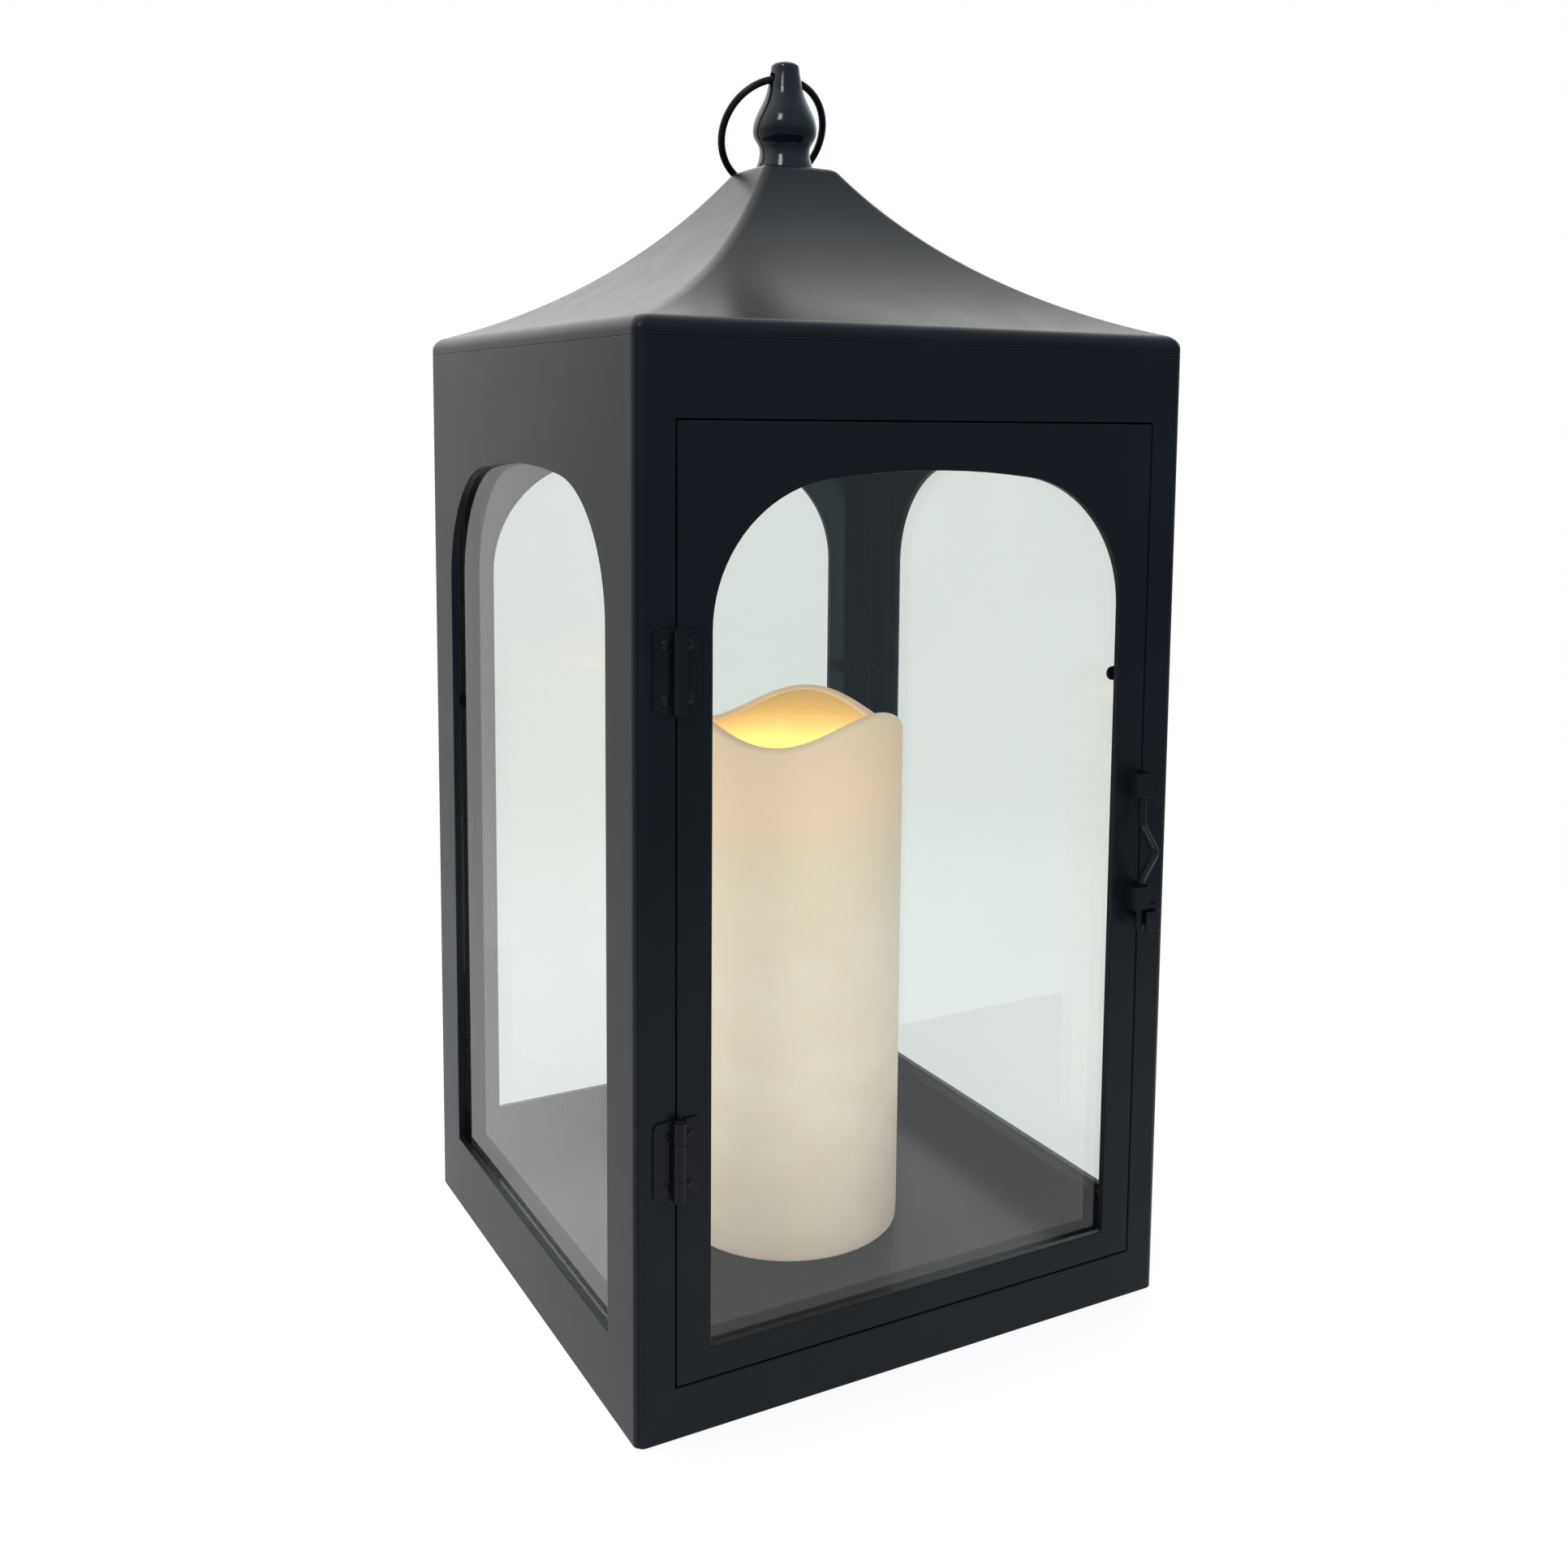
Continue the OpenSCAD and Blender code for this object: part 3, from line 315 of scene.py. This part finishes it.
def wax_finish(top_z):
    """Cream wax with a painted glow all over; near its rim, where the lamp lights it from inside, the warm
    light is painted into its colour and a stronger glow.
    """
    finish = Finish("wax", WAX, WAX_ROUGHNESS, specular=WAX_SPECULAR)
    mottle = finish.noise(WAX_MOTTLE_SIZE, 4, 0.6)
    painted_lamp_light = finish.height(*(top_z - reach for reach in LAMP_REACH))
    body = finish.blend(finish.spread(mottle, *GENTLE, 0, 1), WAX, WAX_PALE)
    # Painted light: the colour turns warmer near the rim, where the lamp is
    finish.colour(finish.blend(painted_lamp_light, body, WAX_RIM_PAINTED_LIGHT))
    finish.feed(finish.shader.inputs["Subsurface Weight"], WAX_SCATTER)
    finish.feed(finish.shader.inputs["Subsurface Radius"], WAX_DEPTH_PARTS)
    finish.feed(finish.shader.inputs["Subsurface Scale"], WAX_DEPTH)
    # Painted glow: the wax gives off light, faintly all over and more near the rim
    finish.feed(finish.shader.inputs["Emission Color"], finish.blend(painted_lamp_light, WAX_PAINTED_GLOW, WAX_RIM_PAINTED_GLOW))
    finish.feed(finish.shader.inputs["Emission Strength"], 1.0)
    ripples = finish.bump(finish.noise(RIPPLE_SIZE, 3), RIPPLE_DEPTH)
    finish.bump(finish.noise(WAX_GRAIN_SIZE, 2), WAX_GRAIN_DEPTH, ripples)
    return finish.material


# Bowl colours are painted lamp light at the floor and painted shade at the rim; the glows are painted light
# given off by the liner
BOWL_FLOOR_PAINTED_LIGHT = (0.9, 0.66, 0.27)
BOWL_RIM_PAINTED_SHADE = (0.6, 0.5, 0.3)
BOWL_FLOOR_GLOW = (1.0, 0.80, 0.27)
BOWL_RIM_GLOW = (1.0, 0.52, 0.19)
BOWL_GLOW = (0.9, 0.03)
BOWL_GLOW_FROM = 0.5
BOWL_ROUGHNESS = 0.5
BOWL_GLOW_PATCHES = (0.9, 1.05)
BOWL_GLOW_PATCH_SIZE = 10 * MM
BOWL_RIPPLE_SIZE = 8 * MM
BOWL_RIPPLE_DEPTH = 0.1 * MM


def bowl_finish(floor_z, top_z):
    """Inside of the candle: wax and liner with the lamp's warm light painted on, as yellow colour and a glow
    that is strongest low down, and painted shade darkening the colour towards the rim.
    """
    finish = Finish("warm_liner", BOWL_FLOOR_PAINTED_LIGHT, BOWL_ROUGHNESS)
    height = finish.height(floor_z, top_z)
    # Painted light and shade: yellow at the floor, turning darker brown towards the rim
    finish.colour(finish.blend(height, BOWL_FLOOR_PAINTED_LIGHT, BOWL_RIM_PAINTED_SHADE))
    # Painted glow: given off strongly over the lower half, fading towards the rim, in patches
    mottle = finish.spread(finish.noise(BOWL_GLOW_PATCH_SIZE, 3), *GENTLE, *BOWL_GLOW_PATCHES)
    glow = finish.spread(height, BOWL_GLOW_FROM, 1, *BOWL_GLOW)
    finish.feed(finish.shader.inputs["Emission Color"], finish.blend(height, BOWL_FLOOR_GLOW, BOWL_RIM_GLOW))
    finish.feed(finish.shader.inputs["Emission Strength"], finish.maths("MULTIPLY", mottle, glow))
    finish.bump(finish.noise(BOWL_RIPPLE_SIZE, 3), BOWL_RIPPLE_DEPTH)
    return finish.material


LENS = (1.0, 0.75, 0.35)
LENS_ROUGHNESS = 0.2
LENS_GLOW = (1.0, 0.62, 0.2)
LENS_GLOW_SIZE = 4 * MM
LENS_GLOW_SPAN = (2.2, 3.2)


def lamp_finish():
    """Amber lens of the lamp, lit."""
    finish = Finish("lamp_lens", LENS, LENS_ROUGHNESS)
    finish.feed(finish.shader.inputs["Emission Color"], (*LENS_GLOW, 1))
    finish.feed(finish.shader.inputs["Emission Strength"],
                finish.spread(finish.noise(LENS_GLOW_SIZE, 2), *GENTLE, *LENS_GLOW_SPAN))
    return finish.material


SILICON = (0.006, 0.010, 0.040)
SILICON_DARK = (0.004, 0.008, 0.035)
SILICON_PALE = (0.010, 0.018, 0.070)
SILICON_ROUGHNESS = 0.25
CRYSTAL_SIZE = 6 * MM
FINGER_COLOUR = (0.35, 0.36, 0.38)
FINGER_SCALE = 1 / (4 * 2.4 * MM)
FINGER_EDGE = (0.94, 0.99)
FINGER_DEPTH = 0.01 * MM


def solar_finish():
    """Dark silicon with thin silver fingers across it."""
    finish = Finish("solar_silicon", SILICON, SILICON_ROUGHNESS)
    finger = finish.node("ShaderNodeTexWave", bands_direction="X")
    finish.feed(finger.inputs["Vector"], finish.place)
    finish.feed(finger.inputs["Scale"], FINGER_SCALE)
    line = finish.spread(finger.outputs["Fac"], *FINGER_EDGE, 0, 1)
    crystal = finish.blend(finish.noise(CRYSTAL_SIZE, 2), SILICON_DARK, SILICON_PALE)
    finish.colour(finish.blend(line, crystal, FINGER_COLOUR))
    finish.bump(line, FINGER_DEPTH)
    return finish.material


candle_low, candle_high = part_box("candle_wax")
platform_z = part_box("candle_insert")[1].z

FINISHES = {
    "powder_coat": painted("powder_coat", COAT, COAT_PALE, COAT_ROUGHNESS, COAT_SPECULAR),
    "hardware": painted("hardware", STEEL, STEEL_PALE, STEEL_ROUGHNESS, STEEL_SPECULAR),
    "gloss_enamel": painted("gloss_enamel", ENAMEL, ENAMEL_PALE, ENAMEL_ROUGHNESS, ENAMEL_SPECULAR),
    "zinc": metal("zinc", ZINC, ZINC_ROUGHNESS),
    "window_glass": window_glass("window_glass", GLASS_TINT, GLASS_ROUGHNESS),
    "wax": wax_finish(candle_high.z),
    "warm_liner": bowl_finish(platform_z, candle_high.z),
    "lamp_lens": lamp_finish(),
    "cream_plastic": moulded("cream_plastic", (0.66, 0.61, 0.5), 0.5),
    "board_green": moulded("board_green", (0.02, 0.11, 0.04), 0.35),
    "black_rubber": moulded("black_rubber", (0.012, 0.012, 0.012), 0.7),
    "wire_sleeve": moulded("wire_sleeve", (0.012, 0.012, 0.012), 0.55),
    "black_plastic": moulded("black_plastic", (0.014, 0.014, 0.016), 0.5),
    "solar_silicon": solar_finish(),
    "solar_window": window_glass("solar_window", RESIN_TINT, RESIN_ROUGHNESS),
    "battery_wrap": moulded("battery_wrap", (0.03, 0.2, 0.08), 0.3),
}

node_slot = {part["node"]: part["material_slot"] for part in frame["record"]["subparts"]}
node_body = {node: body for body, nodes in frame["record"]["behaviour"]["bodies"].items() for node in nodes}


# ---------- pieces ----------

def add_piece(name, mesh, slot, body, replaced=()):
    """Puts a mesh in the scene as a piece that rides on a body and stands for CAD nodes."""
    piece = bpy.data.objects.new(name, mesh)
    bpy.context.scene.collection.objects.link(piece)
    mesh.materials.append(FINISHES[slot])
    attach(piece, body)
    if replaced:
        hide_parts(*replaced)
    return piece


WELD = 0.002 * MM
SHARP = math.radians(32)


def welded(node):
    """A CAD node's shape with its shared corners joined."""
    source = frame["nodes"][node].data
    shape = bmesh.new()
    corners = [shape.verts.new(vertex.co) for vertex in source.vertices]
    for polygon in source.polygons:
        shape.faces.new([corners[index] for index in polygon.vertices])
    bmesh.ops.remove_doubles(shape, verts=shape.verts, dist=WELD)
    return shape


def round_edges(shape, width, segments):
    """Rounds the sharp edges of a shape."""
    bmesh.ops.recalc_face_normals(shape, faces=shape.faces)
    sharp = [edge for edge in shape.edges if edge.is_manifold and edge.calc_face_angle() > SHARP]
    bmesh.ops.bevel(shape, geom=sharp, offset=width, segments=segments, profile=0.5, affect="EDGES",
                    clamp_overlap=False, loop_slide=False)


def shade(mesh, reach):
    """Smooths the shading between faces that turn less than reach; larger faces count for more."""
    faces = mesh.polygons
    normals = np.empty(3 * len(faces))
    faces.foreach_get("normal", normals)
    normals = normals.reshape(-1, 3)
    areas = np.empty(len(faces))
    faces.foreach_get("area", areas)
    around = [[] for _ in mesh.vertices]
    for face in faces:
        for vertex in face.vertices:
            around[vertex].append(face.index)
    limit = math.cos(reach)
    corners = []
    for face in faces:
        own = normals[face.index]
        for vertex in face.vertices:
            near = normals[around[vertex]]
            mixed = (areas[around[vertex]] * (near @ own > limit)) @ near
            length = np.linalg.norm(mixed)
            corners.append(mixed / length if length > 0 else own)
    mesh.normals_split_custom_set(corners)


def finished_mesh(name, shape, reach):
    """Turns a bmesh into a mesh with smooth shading up to turns of reach."""
    bmesh.ops.recalc_face_normals(shape, faces=shape.faces)
    for face in shape.faces:
        face.smooth = True
    mesh = bpy.data.meshes.new(name)
    shape.to_mesh(mesh)
    shape.free()
    shade(mesh, reach)
    return mesh


SHEET_REACH = math.radians(12)
TURNED_REACH = math.radians(35)


def refine(node, width, segments, reach):
    """A finished piece in the shape of a CAD node, with its sharp edges rounded."""
    shape = welded(node)
    round_edges(shape, width, segments)
    name = node + "_formed"
    return add_piece(name, finished_mesh(name, shape, reach), node_slot[node], node_body[node], [node])


SHEET_EDGES = {
    0.5 * MM: ["floor_pan"],
    0.35 * MM: ["front_frame", "left_panel", "right_panel", "rear_panel", "door_panel", "base_plate"],
    0.25 * MM: ["left_glass", "right_glass", "rear_glass", "door_glass", "roof_skirt", "solar_bezel",
                "solar_cover"],
    0.15 * MM: ["hinge_upper_frame_leaf", "hinge_lower_frame_leaf", "hinge_upper_door_leaf",
                "hinge_lower_door_leaf", "latch_keeper", "latch_upper_guide", "latch_lower_guide",
                "wall_glass_clips", "door_glass_clips", "module_housing"],
}
TURNED_EDGES = {
    0.25 * MM: ["finial"],
    0.15 * MM: ["hinge_upper_pin", "hinge_lower_pin", "base_screws"],
    0.05 * MM: ["hinge_frame_rivets", "hinge_door_rivets", "keeper_rivet"],
}
EDGE_SEGMENTS = 3


def refine_all():
    for groups, reach in ((SHEET_EDGES, SHEET_REACH), (TURNED_EDGES, TURNED_REACH)):
        for width, nodes in groups.items():
            for node in nodes:
                refine(node, width, EDGE_SEGMENTS, reach)


# Roof: a stack of rounded squares that follows the rolled eave, the concave sweep and the soft shoulder
EAVE_RADIUS = 5 * MM
SWEEP_RADIUS = 165.5 * MM
SWEEP_OUT = 43.9 * MM
SWEEP_UP = 164.8 * MM
SHOULDER_RADIUS = 4 * MM
SHEET = 1.2 * MM
HIP_RADII = (3.5 * MM, 3.0 * MM)
EAVE_STEPS = 12
SWEEP_STEPS = 56
SHOULDER_STEPS = 8
HIP_STEPS = 10
FLAT_STEPS = 14
CORNER_SHARE = 0.999


def roof_profile(half, wall_top, top, inset):
    """Points (half width, height) up the roof's section, on the skin that lies inset inside the outer one."""
    sweep = Vector((half + SWEEP_OUT, wall_top + SWEEP_UP))
    eave_x = half - EAVE_RADIUS
    eave = Vector((eave_x, sweep.y - math.sqrt((SWEEP_RADIUS + EAVE_RADIUS) ** 2 - (sweep.x - eave_x) ** 2)))
    shoulder_z = top - SHOULDER_RADIUS
    reach = math.sqrt((SWEEP_RADIUS + SHOULDER_RADIUS) ** 2 - (sweep.y - shoulder_z) ** 2)
    shoulder = Vector((sweep.x - reach, shoulder_z))
    low = math.atan2(sweep.y - eave.y, sweep.x - eave.x)
    high = math.atan2(sweep.y - shoulder.y, sweep.x - shoulder.x)
    points = [Vector((half - inset, wall_top))]
    for step in range(EAVE_STEPS + 1):
        angle = low * step / EAVE_STEPS
        points.append(eave + (EAVE_RADIUS - inset) * Vector((math.cos(angle), math.sin(angle))))
    for step in range(1, SWEEP_STEPS + 1):
        angle = low + (high - low) * step / SWEEP_STEPS
        points.append(sweep - (SWEEP_RADIUS + inset) * Vector((math.cos(angle), math.sin(angle))))
    for step in range(1, SHOULDER_STEPS + 1):
        angle = high + (math.pi / 2 - high) * step / SHOULDER_STEPS
        points.append(shoulder + (SHOULDER_RADIUS - inset) * Vector((math.cos(angle), math.sin(angle))))
    return points


def square_ring(shape, half, radius, height):
    """A ring of points round a square with rounded corners."""
    ring = []
    for side in range(4):
        corner = Vector((half - radius, half - radius))
        turn = Matrix.Rotation(side * math.pi / 2, 2)
        for step in range(FLAT_STEPS):
            share = step / FLAT_STEPS
            point = turn @ Vector((half, (radius - half) + 2 * (half - radius) * share))
            ring.append(shape.verts.new((*point, height)))
        for step in range(HIP_STEPS):
            angle = math.pi / 2 * step / HIP_STEPS
            point = turn @ (corner + radius * Vector((math.cos(angle), math.sin(angle))))
            ring.append(shape.verts.new((*point, height)))
    return ring


def join_rings(shape, lower, upper):
    for step in range(len(lower)):
        after = (step + 1) % len(lower)
        shape.faces.new((lower[step], lower[after], upper[after], upper[step]))


def roof_skins():
    """Outer and inner skin of the roof, joined along the eaves."""
    low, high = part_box("roof_shell")
    shape = bmesh.new()
    rims = []
    for inset in (0, SHEET):
        points = roof_profile(high.x, low.z, high.z, inset)
        rings = []
        for step, point in enumerate(points):
            share = step / (len(points) - 1)
            radius = HIP_RADII[0] + (HIP_RADII[1] - HIP_RADII[0]) * share - inset
            rings.append(square_ring(shape, point.x, min(radius, CORNER_SHARE * point.x), point.y))
        for lower, upper in zip(rings, rings[1:]):
            join_rings(shape, lower, upper)
        shape.faces.new(rings[-1])
        rims.append(rings[0])
    join_rings(shape, *rims)
    mesh = finished_mesh("roof_formed", shape, SHEET_REACH)
    add_piece("roof_formed", mesh, "powder_coat", "housing", ["roof_shell"])


def lathe(shape, rows, segments, centre, rim):
    """Turns rows of (radius, height) round a centre; rim(angle, row) is how far a point is moved up."""
    loops = []
    for row, (radius, height) in enumerate(rows):
        loop = []
        for step in range(segments):
            angle = 2 * math.pi * step / segments
            loop.append(shape.verts.new((centre[0] + radius * math.cos(angle),
                                         centre[1] + radius * math.sin(angle), height + rim(angle, row))))
        loops.append(loop)
    for lower, upper in zip(loops, loops[1:]):
        join_rings(shape, lower, upper)


# Wax pillar: straight outside, wavy rim with a soft lip, and a bowl over the lamp's platform
RIM_MEAN = 208.5 * MM
RIM_WAVE = 5.3 * MM
RIM_CREST = math.radians(52)
RIM_WAVES = 3
RIM_FADE = 3
LIP = 2.7 * MM
FOOT = ((3.5 * MM, 0), (0.9 * MM, 0.1 * MM), (0.25 * MM, 0.7 * MM))
FOOT_TOP = 1.5 * MM
WAX_SEGMENTS = 180
WAX_ROWS = 40
LIP_ROWS = 10
BOWL_ROWS = 14
BOWL_FILLET = 7 * MM
BOWL_LIFT = 0.4 * MM
LAMP_HOLE = 6 * MM


def rim_lift(angle):
    return RIM_WAVE * math.cos(RIM_WAVES * (angle - RIM_CREST))


def wax_rows(radius, foot, floor):
    """Rows (radius, height, share of the rim's wave) up the outside, over the lip and down into the bowl."""
    top = RIM_MEAN - LIP
    rows = [(radius - inset, foot + height, 0) for inset, height in FOOT]
    for step in range(1, WAX_ROWS + 1):
        share = step / WAX_ROWS
        rows.append((radius, foot + FOOT_TOP + (top - foot - FOOT_TOP) * share, share ** RIM_FADE))
    for step in range(1, LIP_ROWS + 1):
        angle = math.pi * step / LIP_ROWS
        rows.append((radius - LIP + LIP * math.cos(angle), top + LIP * math.sin(angle), 1))
    inner = radius - 2 * LIP
    for step in range(1, BOWL_ROWS + 1):
        share = step / BOWL_ROWS
        rows.append((inner, top - (top - floor - BOWL_FILLET) * share, 1 - share))
    for step in range(1, LIP_ROWS + 1):
        angle = math.pi / 2 * step / LIP_ROWS
        reach, height = (BOWL_FILLET * (1 - part) for part in (math.cos(angle), math.sin(angle)))
        rows.append((inner - reach, floor + height, 0))
    rows.append((LAMP_HOLE, floor, 0))
    return rows


def wax_shell():
    centre = (candle_low + candle_high) / 2
    radius = (candle_high.x - candle_low.x) / 2
    rows = wax_rows(radius, candle_low.z, platform_z + BOWL_LIFT)
    shape = bmesh.new()
    lathe(shape, [(reach, height) for reach, height, _ in rows], WAX_SEGMENTS, centre,
          lambda angle, row: rows[row][2] * rim_lift(angle))
    mesh = finished_mesh("candle_shell", shape, TURNED_REACH)
    add_piece("candle_shell", mesh, "wax", "housing", ["candle_wax"])
    mesh.materials.append(FINISHES["warm_liner"])
    first_inner = (len(FOOT) + WAX_ROWS + LIP_ROWS - 2) * WAX_SEGMENTS
    for face in mesh.polygons:
        if min(face.vertices) >= first_inner:
            face.material_index = 1


def sweep(name, line, radius, sides):
    """A round bar along a line of points."""
    shape = bmesh.new()
    side = Vector((1, 0, 0))
    loops = []
    for index, point in enumerate(line):
        ahead = (line[min(index + 1, len(line) - 1)] - line[max(index - 1, 0)]).normalized()
        side = (side - side.dot(ahead) * ahead).normalized()
        other = ahead.cross(side)
        turns = [2 * math.pi * step / sides for step in range(sides)]
        loops.append([shape.verts.new(point + radius * (math.cos(turn) * side + math.sin(turn) * other))
                      for turn in turns])
    for first, second in zip(loops, loops[1:]):
        join_rings(shape, first, second)
    shape.faces.new(loops[0])
    shape.faces.new(loops[-1])
    return finished_mesh(name, shape, TURNED_REACH)


# Hanging ring: bent wire, butted at the bottom
RING_LEAN = math.radians(28.5)
RING_WIRE = 1.35 * MM
RING_STEPS = 220
RING_GAP = math.radians(0.7)
RING_SIDES = 24


def ring():
    low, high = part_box("hanging_ring")
    centre = (low + high) / 2
    radius = (high.x - low.x) / 2 - RING_WIRE
    upright = Vector((0, -math.sin(RING_LEAN), math.cos(RING_LEAN)))
    across = Vector((1, 0, 0))
    line = []
    for step in range(RING_STEPS + 1):
        angle = -math.pi / 2 + RING_GAP + (2 * math.pi - 2 * RING_GAP) * step / RING_STEPS
        line.append(centre + radius * (math.cos(angle) * across + math.sin(angle) * upright))
    mesh = sweep("ring_wire", line, RING_WIRE, RING_SIDES)
    add_piece("ring_wire", mesh, "hardware", "ring", ["hanging_ring"])


# Latch bolt: round wire, straight, out to the finger grip, back, and straight again; BOLT_LINE holds
# (distance out of the door's face, height) in millimetres
BOLT_X = 88 * MM
BOLT_LINE = [(4.6, 140.9), (4.6, 158.8), (12.4, 171.5), (4.6, 179.3), (4.6, 195)]
BOLT_RADIUS = 1.4 * MM
BOLT_BEND = 2.2 * MM
BOLT_SIDES = 20
BEND_STEPS = 6
wall_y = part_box("door_panel")[0].y


def rounded_line(points, reach):
    """The line through the points with each corner turned into a short curve."""
    line = [points[0]]
    for before, corner, after in zip(points, points[1:], points[2:]):
        start = corner + (before - corner).normalized() * reach
        end = corner + (after - corner).normalized() * reach
        for step in range(BEND_STEPS + 1):
            share = step / BEND_STEPS
            line.append((1 - share) ** 2 * start + 2 * share * (1 - share) * corner + share ** 2 * end)
    line.append(points[-1])
    return line


def bolt():
    points = [Vector((BOLT_X, wall_y - out * MM, height * MM)) for out, height in BOLT_LINE]
    mesh = sweep("bolt_wire", rounded_line(points, BOLT_BEND), BOLT_RADIUS, BOLT_SIDES)
    add_piece("bolt_wire", mesh, "hardware", "bolt", ["latch_bolt"])


def paint_carried_nodes():
    """Gives the CAD nodes that stay as they are their finishes."""
    for node, thing in frame["nodes"].items():
        if thing.hide_render:
            continue
        thing.data.materials.clear()
        thing.data.materials.append(FINISHES[node_slot[node]])


# ---------- stage ----------

FLOOR_HALF = 1.5
FLOOR_DROP = 0.2 * MM
FLOOR_FADE = (0.3, 0.9)
FLOOR_GLOW = 0.86
FLOOR_PAPER = (0.125, 0.125, 0.125)
FLOOR_SHADE = (0.115, 0.115, 0.115)
FLOOR_ROUGHNESS = 0.9
FLOOR_SPECULAR = 0.1
FLOOR_MOTTLE_SIZE = 0.3
FLOOR_CELLS = 8


def floor_finish():
    """Paper that is lit mostly from below and fades out into the white room."""
    finish = Finish("floor_paper", FLOOR_PAPER, FLOOR_ROUGHNESS, specular=FLOOR_SPECULAR)
    mottle = finish.spread(finish.noise(FLOOR_MOTTLE_SIZE, 3), *GENTLE, 0, 1)
    finish.colour(finish.blend(mottle, FLOOR_PAPER, FLOOR_SHADE))
    finish.feed(finish.shader.inputs["Emission Color"], (1, 1, 1, 1))
    finish.feed(finish.shader.inputs["Emission Strength"], FLOOR_GLOW)
    distance = finish.node("ShaderNodeVectorMath", operation="LENGTH")
    finish.feed(distance.inputs[0], finish.place)
    clear = finish.node("ShaderNodeBsdfTransparent")
    mixed = finish.node("ShaderNodeMixShader")
    finish.feed(mixed.inputs[0], finish.spread(distance.outputs["Value"], *FLOOR_FADE, 0, 1))
    finish.feed(mixed.inputs[1], finish.shader.outputs["BSDF"])
    finish.feed(mixed.inputs[2], clear.outputs["BSDF"])
    finish.feed(finish.output.inputs["Surface"], mixed.outputs["Shader"])
    return finish.material


def make_floor():
    shape = bmesh.new()
    bmesh.ops.create_grid(shape, x_segments=FLOOR_CELLS, y_segments=FLOOR_CELLS, size=FLOOR_HALF)
    mesh = bpy.data.meshes.new("floor")
    shape.to_mesh(mesh)
    shape.free()
    floor = bpy.data.objects.new("floor", mesh)
    floor.location.z = -FLOOR_DROP
    bpy.context.scene.collection.objects.link(floor)
    mesh.materials.append(floor_finish())


WORLD_AHEAD = Vector((-0.25, 0.93, 0.35)).normalized()
WORLD_TURN = (-0.3, 0.8)
WORLD_FRONT = (0.62, 0.80, 0.90)
WORLD_BACK = (2.18, 2.17, 2.12)
WORLD_LOW = 0.45
WORLD_RISE = (-0.05, 0.5)


def make_world():
    """A pale room: bright behind the lantern, dim and cool on the camera's side, darker low down."""
    world = bpy.data.worlds.new("studio")
    world.use_nodes = True
    bpy.context.scene.world = world
    room = Nodes(world.node_tree)
    room.tree.nodes.clear()
    place = room.node("ShaderNodeTexCoord").outputs["Generated"]
    towards = room.node("ShaderNodeVectorMath", operation="DOT_PRODUCT")
    room.feed(towards.inputs[0], place)
    room.feed(towards.inputs[1], WORLD_AHEAD)
    ahead = room.spread(towards.outputs["Value"], *WORLD_TURN, 0, 1)
    lit = room.node("ShaderNodeBackground")
    room.feed(lit.inputs["Color"], room.blend(ahead, WORLD_FRONT, WORLD_BACK))
    room.feed(lit.inputs["Strength"], room.spread(room.axis(place, "Z"), *WORLD_RISE, WORLD_LOW, 1))
    seen = room.node("ShaderNodeBackground")
    room.feed(seen.inputs["Color"], (1, 1, 1, 1))
    mixed = room.node("ShaderNodeMixShader")
    room.feed(mixed.inputs[0], room.node("ShaderNodeLightPath").outputs["Is Camera Ray"])
    room.feed(mixed.inputs[1], lit.outputs["Background"])
    room.feed(mixed.inputs[2], seen.outputs["Background"])
    room.feed(room.node("ShaderNodeOutputWorld").inputs["Surface"], mixed.outputs["Shader"])


LIGHT_AIM = Vector((0, 0, 0.15))

# Name, place, width and height in metres, power in watts, and whether mirrors show it
LIGHTS = (
    ("overhead", (0, 0.1, 2.2), (2.4, 2.4), 4, False),
    ("fill", (-0.9, -1.9, 0.7), (1.6, 1.2), 16.5, False),
    ("window", (-1.15, -1.05, 1.75), (0.42, 0.6), 15, True),
)


def make_lights():
    """Two wide lights that no mirror shows, and a small one that shines in the finial."""
    for name, at, size, power, mirrored in LIGHTS:
        data = bpy.data.lights.new(name, "AREA")
        data.shape = "RECTANGLE"
        data.size, data.size_y = size
        data.energy = power
        light = bpy.data.objects.new(name, data)
        turn = (LIGHT_AIM - Vector(at)).to_track_quat("-Z", "Y").to_matrix().to_4x4()
        light.matrix_world = Matrix.Translation(at) @ turn
        light.visible_glossy = mirrored
        bpy.context.scene.collection.objects.link(light)


bpy.context.scene.view_settings.view_transform = "Standard"
make_camera()
refine_all()
roof_skins()
wax_shell()
ring()
bolt()
paint_carried_nodes()
make_floor()
make_world()
make_lights()
